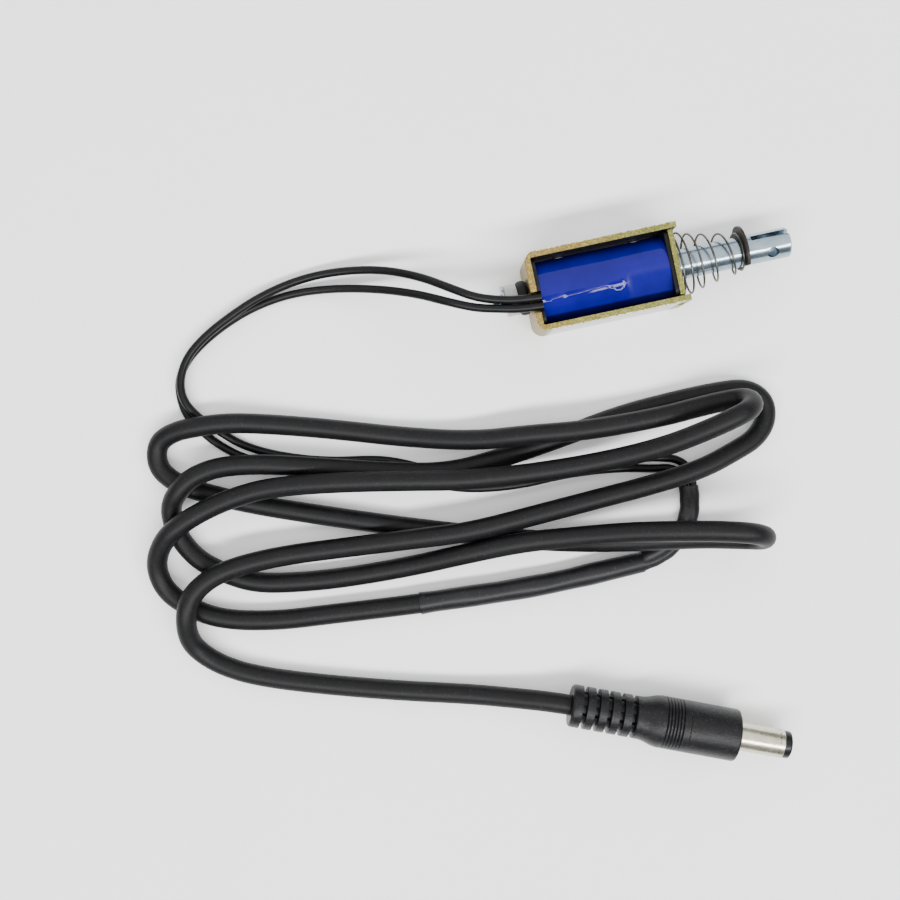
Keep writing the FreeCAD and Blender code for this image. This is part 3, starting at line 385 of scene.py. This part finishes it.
BLACK = (0.003, 0.003, 0.0035)
DULL_BLACK = (0.006, 0.006, 0.007)
FINISHES = {
    "yellow_zinc": zinc_yellow(),
    "bright_zinc": zinc_bright(),
    "spring_steel": plain_metal("spring_steel", (0.075, 0.072, 0.062), (0.13, 0.126, 0.112), rough=0.30,
                                grain_mm=0.2),
    "black_clip": black_clip(),
    "brass_tube": plain_metal("brass_tube", (0.72, 0.52, 0.22), (0.82, 0.64, 0.32), rough=0.28),
    "soft_iron": plain_metal("soft_iron", (0.52, 0.52, 0.53), (0.68, 0.68, 0.69), rough=0.34),
    "bobbin_black": soft_black("bobbin_black", (0.0025, 0.0025, 0.0035), rough=0.42, grain_mm=0.25,
                               depth_mm=0.01, dust=0.1, shine=0.16),
    "copper_winding": copper_turns(),
    "tape_blue": blue_tape(),
    "rubber_dark": soft_black("rubber_dark", DULL_BLACK, rough=0.60, grain_mm=0.20, depth_mm=0.02, dust=0.3),
    "cushion_pale": pale_cushion(),
    "wire_black": soft_black("wire_black", BLACK, rough=0.34, grain_mm=0.25, depth_mm=0.012, dust=0.15,
                             shine=0.17),
    "shrink_black": soft_black("shrink_black", DULL_BLACK, rough=0.42, grain_mm=0.30, depth_mm=0.016,
                               dust=0.3),
    "cable_black": soft_black("cable_black", BLACK, rough=0.50, grain_mm=0.22, depth_mm=0.02, dust=0.2,
                              shine=0.19),
    "plug_black": soft_black("plug_black", (0.003, 0.003, 0.0036), rough=0.34, grain_mm=0.28, depth_mm=0.075,
                             dust=0.35, shine=0.23),
    "nickel": nickel(),
    "insulator_black": soft_black("insulator_black", (0.004, 0.004, 0.005), rough=0.30, grain_mm=0.25,
                                  depth_mm=0.01, dust=0.2),
}


# ---------------------------------------------------------------- how pieces are made
def settle(piece, body, slot, *stands_for):
    """Give a piece its finish, its body and the solids that it stands for."""
    piece.data.materials.clear()
    piece.data.materials.append(FINISHES[slot])
    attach(piece, body)
    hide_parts(*stands_for)
    return piece


def skin(name, points, faces, crease):
    """A closed mesh from points and faces: doubles merged, faces turned outwards, edges over crease degrees
    sharp."""
    mesh = bpy.data.meshes.new(name)
    mesh.from_pydata(points, [], faces)
    work = bmesh.new()
    work.from_mesh(mesh)
    bmesh.ops.remove_doubles(work, verts=work.verts, dist=2e-7)
    bmesh.ops.dissolve_degenerate(work, edges=work.edges, dist=1e-8)
    bmesh.ops.recalc_face_normals(work, faces=work.faces)
    work.to_mesh(mesh)
    work.free()
    mesh.shade_smooth()
    mesh.set_sharp_from_angle(angle=math.radians(crease))
    return placed(name, mesh)


def woven(name, grid, crease=35.0, close_rows=True):
    """A surface over a grid of points (rows, round, 3): each cell is one face, and the grid closes round
    itself and, with close_rows, end to end."""
    rows, around = grid.shape[:2]
    number = np.arange(rows * around).reshape(rows, around)
    if close_rows:
        number = np.vstack([number, number[:1]])
    beside = np.roll(number, -1, axis=1)
    faces = np.stack([number[:-1], beside[:-1], beside[1:], number[1:]], axis=-1).reshape(-1, 4)
    return skin(name, grid.reshape(-1, 3).tolist(), faces.tolist(), crease)


def eased(corners, steps=4):
    """A closed outline from rows (along, radius, rounding): each corner becomes the curve
    (1-t)^2 start + 2t(1-t) corner + t^2 end, which starts and ends at the rounding's distance from it."""
    rows = np.array(corners, float)
    spots, cut = rows[:, :2], rows[:, 2:]
    back = np.roll(spots, 1, axis=0) - spots
    ahead = np.roll(spots, -1, axis=0) - spots
    start = spots + cut * back / np.linalg.norm(back, axis=1)[:, None]
    end = spots + cut * ahead / np.linalg.norm(ahead, axis=1)[:, None]
    t = np.linspace(0, 1, steps + 1)[None, :, None]
    curves = (1 - t) ** 2 * start[:, None] + 2 * t * (1 - t) * spots[:, None] + t ** 2 * end[:, None]
    return curves.reshape(-1, 2)


def round_about(line, along, radius, angle):
    """Points at a distance along a line, a radius from it and an angle round it from straight up towards
    the line's right: origin + along * heading + radius * (cos(angle) up + sin(angle) right)."""
    origin, heading = line
    right = np.array([heading[1], -heading[0], 0])
    up = np.array([0, 0, 1.0])
    along, radius, angle = np.broadcast_arrays(along, radius, angle)
    outward = np.cos(angle)[..., None] * up + np.sin(angle)[..., None] * right
    return MM * (origin + along[..., None] * heading + radius[..., None] * outward)


def turned(name, line, outline, around=96, crease=35.0):
    """A round piece: every (along, radius) of a closed outline goes once round the line."""
    angle = np.linspace(0, 2 * np.pi, around, endpoint=False)[None, :]
    return woven(name, round_about(line, outline[:, :1], outline[:, 1:2], angle), crease)


def softened(node, body, slot, edge_mm):
    """A merged copy of a solid with its edges slightly rounded."""
    mesh = bpy.data.meshes.new(node + "_dressed")
    work = bmesh.new()
    work.from_mesh(nodes[node].data)
    bmesh.ops.remove_doubles(work, verts=work.verts, dist=1e-6)
    bmesh.ops.dissolve_limit(work, angle_limit=math.radians(0.5), verts=work.verts, edges=work.edges)
    work.to_mesh(mesh)
    work.free()
    mesh.shade_smooth()
    mesh.set_sharp_from_angle(angle=math.radians(30))
    piece = placed(node + "_dressed", mesh)
    rim = piece.modifiers.new("edges", "BEVEL")
    rim.width = edge_mm * MM
    rim.segments = 2
    rim.limit_method = "ANGLE"
    rim.angle_limit = math.radians(32)
    return settle(piece, body, slot, node)


# ---------------------------------------------------------------- cords
LEAD_A = [
    # out over the bobbin flange, through the notch, level over the stop's travel
    (-12.75, -1.1, 12.5), (-16.75, -0.85, 12.5), (-21.0, 0.05, 12.5), (-25.0, 1.5, 12.3), (-28.75, 4.0, 11.4),
    # down to the table
    (-34.25, 8.0, 8.4), (-41.5, 11.5, 4.8), (-50.25, 13.25, 2.4), (-58.0, 13.25, 1.7),
    # round the left bend on top of the other lead
    (-65.75, 11.5, 2.4), (-72.5, 8.75, 2.65), (-78.0, 6.0, 2.65), (-82.25, 2.75, 2.65), (-84.5, -1.25, 2.65),
    (-84.75, -5.25, 2.55), (-82.75, -9.0, 1.95), (-79.5, -12.5, 1.0),
    # beside it on the table, under the cable
    (-75.25, -16.5, 0.85), (-68.5, -20.0, 0.85), (-59.25, -23.0, 0.85), (-49.75, -24.5, 0.85),
    (-43.5, -27.0, 0.85), (-38.5, -30.0, 0.85), (-32.0, -32.5, 0.85), (-24.0, -33.75, 0.85),
    (-15.0, -33.5, 0.85), (-7.0, -34.0, 0.85), (-0.25, -35.0, 0.85),
    # into the flat sleeve
    (4.5, -35.75, 1.0), (8.5, -37.0, 1.2), (10.2, -40.0, 1.25), (9.95, -42.5, 1.25),
]
LEAD_B = [
    # out over the bobbin flange, through the notch, level over the stop's travel
    (-12.75, -2.8, 12.5), (-16.75, -2.55, 12.5), (-20.75, -1.65, 12.3), (-25.25, -0.5, 11.9),
    (-30.0, 1.75, 11.3),
    # down to the table
    (-35.75, 5.0, 8.2), (-43.25, 8.0, 4.6), (-52.0, 10.25, 1.9), (-60.0, 11.0, 0.85),
    # round the left bend
    (-67.25, 10.0, 0.85), (-73.25, 8.0, 0.85), (-78.75, 5.25, 0.85), (-82.75, 2.25, 0.85),
    (-85.0, -1.0, 0.85), (-85.5, -4.5, 0.85), (-85.0, -8.25, 0.85), (-82.75, -12.0, 0.85),
    (-79.75, -15.5, 0.85),
    # along the table, under the cable
    (-75.5, -19.0, 0.85), (-68.0, -22.25, 0.85), (-58.5, -25.0, 0.85), (-49.75, -26.5, 0.85),
    (-45.0, -28.5, 0.85), (-40.0, -31.75, 0.85), (-33.25, -34.25, 0.85), (-23.75, -35.5, 0.85),
    (-15.0, -35.25, 0.85), (-7.25, -35.75, 0.85), (-1.0, -36.75, 0.85),
    # into the flat sleeve
    (3.0, -37.75, 1.0), (6.5, -38.25, 1.2), (8.45, -40.25, 1.25), (8.23, -42.5, 1.25),
]
FLAT_SLEEVE = [
    (9.1, -42.5, 1.25), (8.85, -45.0, 1.25), (8.0, -48.25, 1.25), (6.0, -51.25, 1.25), (3.0, -53.5, 1.25),
    (0.0, -54.75, 1.25), (-3.0, -55.2, 1.25),
]
SPLICE = [
    (-3.0, -55.2, 2.25), (-9.5, -55.25, 2.25), (-18.0, -55.5, 2.25), (-28.0, -55.3, 2.25),
    (-38.0, -54.65, 2.25), (-47.5, -54.0, 2.25),
]
CABLE = [
    # from the sleeve along the table to the first left-hand bend, which climbs
    (-47.5, -54.0, 2.25), (-54.0, -53.5, 2.1), (-64.5, -52.5, 2.0), (-76.0, -51.5, 2.0), (-86.5, -49.0, 2.0),
    (-92.5, -45.0, 2.0), (-96.0, -41.0, 2.3), (-96.5, -36.0, 3.6), (-94.0, -32.0, 6.0), (-90.5, -29.5, 7.8),
    # second strand, over the bends below it and up to the small loop
    (-85.5, -27.5, 7.4), (-79.0, -26.0, 6.4), (-71.0, -25.5, 6.4), (-59.5, -27.0, 7.4), (-46.0, -29.5, 7.9),
    (-34.0, -32.0, 7.8), (-19.5, -33.5, 7.4), (-6.0, -34.0, 8.0), (4.5, -33.5, 10.5), (12.5, -32.0, 13.2),
    # the small loop
    (18.5, -30.5, 14.8), (22.0, -29.5, 12.4), (22.5, -28.0, 8.9), (20.5, -27.5, 6.5),
    # third strand, back along the top and over the leads to the next left-hand bend
    (14.5, -27.5, 6.3), (5.5, -28.0, 6.3), (-9.0, -27.5, 6.3), (-20.0, -26.0, 6.3), (-30.5, -25.0, 3.8),
    (-43.5, -21.5, 2.0), (-58.5, -16.5, 2.1), (-70.5, -13.0, 3.2), (-77.0, -11.5, 4.4), (-83.0, -11.0, 4.5),
    (-87.5, -11.0, 3.8), (-91.5, -12.5, 2.6), (-92.5, -17.0, 2.0), (-90.0, -20.5, 2.0),
    # fourth strand, on the table under the crossings and over the sleeve
    (-85.5, -23.5, 2.0), (-76.0, -28.0, 2.0), (-63.0, -33.0, 2.0), (-46.5, -39.0, 2.0), (-31.5, -44.0, 2.0),
    (-18.0, -48.0, 2.3), (-5.0, -50.5, 4.5), (8.0, -52.5, 4.9),
    # the upright loop
    (16.5, -54.5, 5.0), (19.5, -55.0, 8.0), (19.5, -54.0, 11.8), (16.5, -52.5, 14.4),
    # fifth strand, on top of the fourth and down to the table
    (11.0, -51.0, 14.0), (3.5, -49.5, 12.8), (-5.5, -48.0, 10.4), (-15.5, -47.0, 7.6), (-25.0, -46.0, 6.7),
    (-35.0, -46.0, 5.6), (-48.0, -46.5, 2.4), (-61.0, -46.0, 2.0), (-70.0, -45.0, 2.0), (-78.0, -43.5, 2.0),
    (-83.5, -40.5, 2.0), (-88.0, -37.0, 2.0), (-90.5, -33.0, 2.2), (-91.5, -29.0, 3.0), (-91.0, -25.0, 4.5),
    (-88.5, -22.5, 6.2),
    # sixth strand, over the leads and out along the table
    (-85.5, -20.5, 6.4), (-80.5, -19.5, 5.6), (-73.0, -20.5, 4.0), (-62.0, -23.5, 3.9), (-48.0, -27.5, 3.9),
    (-37.0, -30.0, 3.8), (-26.5, -29.5, 2.2), (-14.0, -28.0, 2.0), (-1.5, -26.0, 2.0), (10.0, -25.5, 2.0),
    (18.0, -25.5, 2.0),
    # the large loop
    (24.0, -26.0, 2.0), (27.0, -29.0, 2.0), (26.5, -33.0, 2.3), (23.5, -36.0, 2.9),
    # seventh strand, over everything below it to the last left-hand bend
    (19.0, -37.5, 3.6), (12.0, -39.5, 4.5), (2.0, -40.5, 4.9), (-10.0, -41.0, 5.1), (-23.0, -41.5, 6.1),
    (-35.0, -42.0, 6.4), (-46.5, -41.0, 6.3), (-59.5, -40.0, 4.8), (-71.0, -39.0, 5.2), (-79.5, -39.0, 6.3),
    (-85.5, -40.0, 6.5), (-90.0, -42.5, 6.5), (-92.0, -46.0, 6.5), (-93.0, -50.5, 4.4), (-92.0, -54.0, 2.7),
    (-88.0, -58.0, 2.0),
    # last strand, on the table and up to the plug's axis
    (-81.5, -61.5, 2.0), (-70.0, -65.5, 2.0), (-55.0, -70.0, 2.0), (-41.5, -73.5, 2.2), (-32.5, -76.0, 3.6),
    (-27.0, -77.5, 4.8), (-23.0, -79.0, 5.0),
]


def route(name, points_mm):
    """One open NURBS line with the route's points as its control points."""
    line = bpy.data.curves.new(name, "CURVE")
    line.dimensions = "3D"
    line.resolution_u = 12
    spline = line.splines.new("NURBS")
    spline.points.add(len(points_mm) - 1)
    spots = np.ones((len(points_mm), 4))
    spots[:, :3] = np.array(points_mm) * MM
    spline.points.foreach_set("co", spots.ravel())
    spline.order_u = 3
    spline.use_endpoint_u = True
    return placed(name, line)


def round_cord(name, points_mm, radius_mm, slot, node):
    """A round cord with closed ends along a route."""
    piece = route(name, points_mm)
    piece.data.bevel_depth = radius_mm * MM
    piece.data.bevel_resolution = 6
    piece.data.use_fill_caps = True
    return settle(piece, "base_unit", slot, node)


def centre_line(points_mm):
    """The points of a route's NURBS line, read from the curve itself, in millimetres."""
    guide = route("guide", points_mm)
    bpy.context.view_layer.update()
    mesh = bpy.data.meshes.new_from_object(guide)
    spots = np.empty(len(mesh.vertices) * 3, np.float32)
    mesh.vertices.foreach_get("co", spots)
    bpy.data.meshes.remove(mesh)
    bpy.data.objects.remove(guide)
    return spots.reshape(-1, 3).astype(float) / MM


def unit(rows):
    """Every row of an array, made one long."""
    return rows / np.linalg.norm(rows, axis=1)[:, None]


def closed_tube(name, centre, rings, crease):
    """A skin over rings round a centre line, both in millimetres; its ends are drawn together on the line."""
    ends = np.broadcast_to(centre[[0, -1], None], (2, rings.shape[1], 3))
    return woven(name, np.concatenate([ends[:1], rings, ends[1:]]) * MM, crease, close_rows=False)


def sheathed(name, spots, section, slot, node, around=48):
    """A sleeve along a line: section(share, angle) gives how far its skin lies to the side and upwards, at a
    share 0 to 1 of its length and an angle round it."""
    heading = unit(np.gradient(spots, axis=0))
    side = unit(np.cross(heading, (0, 0, 1.0)))
    up = np.cross(side, heading)
    steps = np.linalg.norm(np.diff(spots, axis=0), axis=1)
    share = np.concatenate([[0], np.cumsum(steps)])[:, None] / steps.sum()
    angle = np.linspace(0, 2 * np.pi, around, endpoint=False)[None, :]
    across, high = section(share, angle)
    rings = spots[:, None] + across[..., None] * side[:, None] + high[..., None] * up[:, None]
    return settle(closed_tube(name, spots, rings, crease=40.0), "base_unit", slot, node)


cable = round_cord("supply_cable", CABLE, CABLE_RADIUS, "cable_black", "cable")
lead_a = round_cord("lead_a", LEAD_A, LEAD_RADIUS, "wire_black", "lead_wire_a")
lead_b = round_cord("lead_b", LEAD_B, LEAD_RADIUS, "wire_black", "lead_wire_b")


def two_lobes(share, angle):
    """Two lead wires side by side under shrunk tube: a faintly lumpy oval 3.9 wide and 2.4 high, dipped by
    0.22 between the wires; the dip fades out over the last tenth."""
    near = np.clip((share - 0.9) / 0.1, 0, 1) ** 2
    dip = 0.22 * np.exp(-(np.cos(angle) / 0.28) ** 2) * (1 - near)
    lumps = 0.04 * np.sin(40 * share + 2 * np.cos(angle))
    return (1.95 + lumps) * np.cos(angle), (1.21 - dip + 0.5 * lumps) * np.sin(angle)


def splice_skin(share, angle):
    """Shrunk tube over the splice: 2.12 in radius and faintly lumpy, with a rise over each joint, drawn in at
    its start and slightly belled at its end."""
    rises = 0.05 * np.exp(-((share - 0.24) / 0.05) ** 2) + 0.04 * np.exp(-((share - 0.55) / 0.07) ** 2)
    lumps = 0.03 * np.sin(22 * share + 3 * np.cos(angle))
    bell = 0.10 * np.clip((share - 0.95) / 0.05, 0, 1)
    start = np.clip(1 - share / 0.12, 0, 1) ** 2
    radius = 2.12 + rises + lumps + bell
    return (radius - 0.14 * start) * np.cos(angle), (radius - 0.35 * start) * np.sin(angle)


lead_sleeve = sheathed("flat_sleeve", centre_line(FLAT_SLEEVE), two_lobes, "shrink_black", "lead_sleeve")
splice = sheathed("joint_sleeve", centre_line(SPLICE), splice_skin, "shrink_black", "splice_sleeve")


# ---------------------------------------------------------------- plug
def ribbed_relief():
    """The strain relief: its radius is 4.1 on the ribs and, in five gaps, 3.05 on four webs and 2.3 in the
    slots between the webs. The walls are steep because the grid's lines lie in pairs at every edge."""
    first, gap, pitch, count, wall = 2.0, 0.9, 2.4, 5, 0.09
    slot_radius, web_radius = 2.3, 3.05
    face = np.array([(0.0, 0.0), (0.0, 3.8), (0.25, 4.02), (0.5, RIB_RADIUS), (1.2, RIB_RADIUS)])
    steps = np.array([0.0, wall, gap - wall, gap, (gap + pitch) / 2])
    in_gap = np.tile([False, True, True, False, False], count)[:-1]
    lines = (first + pitch * np.arange(count)[:, None] + steps).ravel()[:-1]
    along = np.concatenate([face[:, 0], lines, [RELIEF_LENGTH]])
    web_edges = np.radians([17, 20, 66, 70])
    quarter = np.unique(np.concatenate([np.linspace(0, np.pi / 2, 19), web_edges]))[:-1]
    whole = np.concatenate([quarter, np.pi - quarter, np.pi + quarter, 2 * np.pi - quarter])
    angle = np.unique(np.round(whole % (2 * np.pi), 6))
    from_upright = np.abs((angle + np.pi / 2) % np.pi - np.pi / 2)
    gap_radius = np.interp(from_upright, web_edges, [slot_radius, web_radius, web_radius, slot_radius])
    radius = np.full((along.size, angle.size), RIB_RADIUS)
    radius[:len(face)] = face[:, 1:]
    radius[len(face):-1][in_gap] = gap_radius
    radius[-1] = 0.0
    grid = round_about(PLUG, along[:, None], radius, angle[None, :])
    piece = woven("ribbed_relief", grid, crease=30.0, close_rows=False)
    return settle(piece, "base_unit", "plug_black", "strain_relief")


def ring_grooves(first, count, pitch, deep, half):
    """Corners of fine V grooves in the body's skin, deep in the middle and reaching half to either side."""
    found = []
    for middle in first + pitch * np.arange(count):
        found += [(middle - half, BODY_RADIUS, 0.05), (middle, BODY_RADIUS - deep, 0.04),
                  (middle + half, BODY_RADIUS, 0.05)]
    return found


relief = ribbed_relief()
collar = [(RELIEF_LENGTH, 0.0, 0), (RELIEF_LENGTH, RIB_RADIUS - 0.15, 0.1), (12.75, RIB_RADIUS, 0.15),
          (14.3, RIB_RADIUS + 0.02, 0.9), (16.8, BODY_RADIUS - 0.02, 1.0)]
grooves = ring_grooves(first=17.6, count=7, pitch=0.62, deep=0.22, half=0.16)
seam = [(22.7, BODY_RADIUS, 0), (22.8, BODY_RADIUS - 0.07, 0.02), (22.9, BODY_RADIUS, 0)]
front = [(BODY_FRONT, BODY_RADIUS, 0.5), (BODY_FRONT, BARREL_RADIUS, 0), (BARREL_FOOT, FOOT_RADIUS, 0),
         (BARREL_ROOT, FOOT_RADIUS, 0), (BARREL_ROOT, 0.0, 0)]
shell = turned("moulded_shell", PLUG, eased(collar + grooves + seam + front), around=128, crease=28.0)
settle(shell, "base_unit", "plug_black", "plug_body")
barrel = turned("contact_barrel", PLUG, eased([
    (BARREL_ROOT, BARREL_BORE, 0), (BARREL_END, BARREL_BORE, 0.1), (BARREL_END, BARREL_RADIUS, 0.12),
    (BODY_FRONT, BARREL_RADIUS, 0), (BARREL_FOOT, FOOT_RADIUS, 0),
    (BARREL_ROOT, FOOT_RADIUS, 0)]), around=128)
settle(barrel, "base_unit", "nickel", "plug_barrel")
tip = turned("barrel_tip", PLUG, eased([
    (BARREL_ROOT, CONTACT_RADIUS, 0), (CONTACT_END, CONTACT_RADIUS, 0), (CONTACT_END, CONTACT_BORE, 0),
    (TIP_END, CONTACT_BORE, 0.2), (TIP_END, TIP_RADIUS, 0.5), (BARREL_END, TIP_RADIUS, 0),
    (BARREL_END, BARREL_BORE, 0), (BARREL_ROOT, BARREL_BORE, 0)]))
settle(tip, "base_unit", "insulator_black", "plug_insulator")

plug_pieces = [relief, shell, barrel, tip, nodes["plug_center_contact"]]
[splice] + plug_pieces


# ---------------------------------------------------------------- solenoid
softened("frame", "base_unit", "yellow_zinc", edge_mm=0.16)
softened("front_plate", "base_unit", "yellow_zinc", edge_mm=0.12)
softened("bobbin", "base_unit", "bobbin_black", edge_mm=0.10)
softened("front_clip", "clip_carrier", "black_clip", edge_mm=0.10)
softened("rear_clip", "plunger_set", "bright_zinc", edge_mm=0.08)
softened("plunger", "plunger_set", "bright_zinc", edge_mm=0.10)


def wound_tape():
    """The film over the winding: a tube whose skin waves gently about 6.19 in radius, with creases: each is a
    ridge high * exp(-(d / wide)^2) at a distance d from a line over the skin."""
    along = np.linspace(TAPE_REAR, TAPE_FRONT, 300)[:, None]
    coarse = np.linspace(-np.pi, np.pi, 120, endpoint=False)
    fine = np.linspace(-0.2, 0.75, 150)
    angle = np.unique(np.concatenate([coarse, fine]))[None, :]
    here = np.stack(np.broadcast_arrays(along, TAPE_RADIUS * angle), axis=-1)

    def crease(high, wide, *spots):
        """A ridge along a line of spots, each (x, millimetres round the skin from the top southwards)."""
        nearest = np.inf
        for start, end in zip(np.array(spots), np.array(spots[1:])):
            run = end - start
            share = np.clip((here - start) @ run / (run @ run), 0, 1)[..., None]
            nearest = np.minimum(nearest, np.linalg.norm(here - start - share * run, axis=-1))
        return high * np.exp(-(nearest / wide) ** 2)

    waves = 0.025 * np.sin(0.45 * along + 2.0 * angle) + 0.02 * np.cos(3 * angle + 0.3 * along)
    creases = [
        crease(0.035, 0.28, (-11.9, 2.2), (-11.3, 2.35), (-10.8, 1.95), (-9.2, 1.8), (-8.7, 1.5)),
        crease(0.035, 0.26, (-7.7, 1.95), (-5.5, 1.9), (-3.0, 1.6), (-0.8, 1.5), (-0.2, 1.6)),
        crease(0.055, 0.22, (0.6, 2.3), (1.2, 3.0), (2.2, 3.1), (3.0, 2.6), (3.3, 1.9), (2.8, 0.8)),
        crease(0.012, 0.45, (-3.5, 3.0), (-1.8, 3.3), (0.6, 3.3)),
    ]
    skin_radius = np.minimum(TAPE_RADIUS - 0.01 + waves + sum(creases), TAPE_RADIUS + 0.09)
    outer = round_about(SOLENOID, along, skin_radius, angle)
    front_rim = round_about(SOLENOID, TAPE_FRONT, TAPE_BORE, angle)
    rear_rim = round_about(SOLENOID, TAPE_REAR, TAPE_BORE, angle)
    return woven("wound_tape", np.concatenate([outer, front_rim, rear_rim]), crease=50.0)


settle(wound_tape(), "base_unit", "tape_blue", "insulation_tape")


def conical_spring():
    """Round wire 0.4 thick, 6.2 turns from the plate to the clip: its mean radius is 6.1 for 1.7 turns and
    falls to 3.5 over the next 4.2, and it rises as a smoothed run through rows (turn, share of the way)."""
    wire_radius, seat_gap, turns, last_angle = 0.2, 0.01, 6.2, math.radians(560.0)
    wide, narrow, even_turns, falling_turns = 6.1, 3.5, 1.7, 4.2
    rows = np.array([(0, 0), (0.64, 0.01), (1.14, 0.045), (1.64, 0.107), (2.14, 0.193), (2.64, 0.263),
                     (3.14, 0.371), (3.64, 0.469), (4.14, 0.595), (4.64, 0.718), (5.14, 0.891), (5.64, 0.991),
                     (6.2, 1.0)])
    wound = np.linspace(0, turns, 480)
    low, high = PLATE_FACE + wire_radius + seat_gap, CLIP_FACE - wire_radius - seat_gap
    nearby = wound + np.array([-0.2, -0.1, 0.0, 0.1, 0.2])[:, None]
    along = low + (high - low) * np.interp(nearby, rows[:, 0], rows[:, 1]).mean(axis=0)
    radius = wide - (wide - narrow) * np.clip((wound - even_turns) / falling_turns, 0, 1)
    turn = last_angle + 2 * np.pi * (wound - turns)
    outward = np.stack([0 * wound, np.cos(turn), np.sin(turn)], axis=-1)
    centre = SOLENOID[0] + along[:, None] * SOLENOID[1] + radius[:, None] * outward
    heading = unit(np.gradient(centre, axis=0))
    across = unit(np.cross(heading, outward))
    outward = np.cross(across, heading)
    angle = np.linspace(0, 2 * np.pi, 14, endpoint=False)[None, :, None]
    round_wire = np.cos(angle) * outward[:, None] + np.sin(angle) * across[:, None]
    return closed_tube("conical_spring", centre, centre[:, None] + wire_radius * round_wire, crease=50.0)


spring = settle(conical_spring(), "base_unit", "spring_steel", "return_spring")
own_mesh(spring)

rod = turned("rod_dressed", SOLENOID, eased([
    (ROD_TIP, 0.0, 0), (ROD_TIP, ROD_RADIUS - 0.35, 0.12), (ROD_TIP + 0.35, ROD_RADIUS, 0.12),
    (REAR_CLIP_REAR, ROD_RADIUS, 0.04), (REAR_CLIP_REAR, ROD_GROOVE, 0), (CUSHION_REAR, ROD_GROOVE, 0),
    (CUSHION_REAR, ROD_RADIUS, 0.04), (ROD_FRONT, ROD_RADIUS, 0), (ROD_FRONT, 0.0, 0)]), around=72)
settle(rod, "plunger_set", "bright_zinc", "push_rod")
bumper = turned("bumper_dressed", SOLENOID, eased([
    (BUMPER_REAR, ROD_RADIUS, 0), (BUMPER_REAR, BUMPER_RADIUS, 0.85), (BUMPER_FRONT, BUMPER_RADIUS, 0.85),
    (BUMPER_FRONT, ROD_RADIUS, 0)], steps=8), around=72)
settle(bumper, "plunger_set", "rubber_dark", "bumper_ring")
cushion = turned("cushion_dressed", SOLENOID, eased([
    (CUSHION_REAR, ROD_RADIUS, 0), (CUSHION_REAR, CUSHION_RADIUS, 0.4), (-17.9, CUSHION_RADIUS - 0.13, 0.6),
    (BUMPER_REAR, CUSHION_RADIUS, 0.4), (BUMPER_REAR, ROD_RADIUS, 0)]), around=72)
settle(cushion, "plunger_set", "cushion_pale", "cushion_washer")

# solids that are shown as they are, in their own finish
for node, slot in (("coil_winding", "copper_winding"), ("guide_sleeve", "brass_tube"),
                   ("fixed_core", "soft_iron"), ("plug_center_contact", "nickel")):
    nodes[node].material_slots[0].material = FINISHES[slot]

# ---------------------------------------------------------------- table
reach, sunk = 3.0, 0.00002
table_top = bpy.data.meshes.new("table_top")
table_top.from_pydata([(-reach, -reach, -sunk), (reach, -reach, -sunk), (reach, reach, -sunk),
                       (-reach, reach, -sunk)], [], [(0, 1, 2, 3)])
floor = placed("table_top", table_top)
paper = Finish("white_paper", Roughness=0.9, Specular_IOR_Level=0.1, Emission_Strength=0.15)
mottle = paper.noise(60.0)
paper.set("Base Color", paper.tones(mottle, (0.3, (0.94, 0.94, 0.94)), (0.7, (0.96, 0.96, 0.96))))
paper.set("Emission Color", paper.tones(mottle, (0.3, (0.98, 0.98, 0.98)), (0.7, (1.0, 1.0, 1.0))))
table_top.materials.append(paper.material)
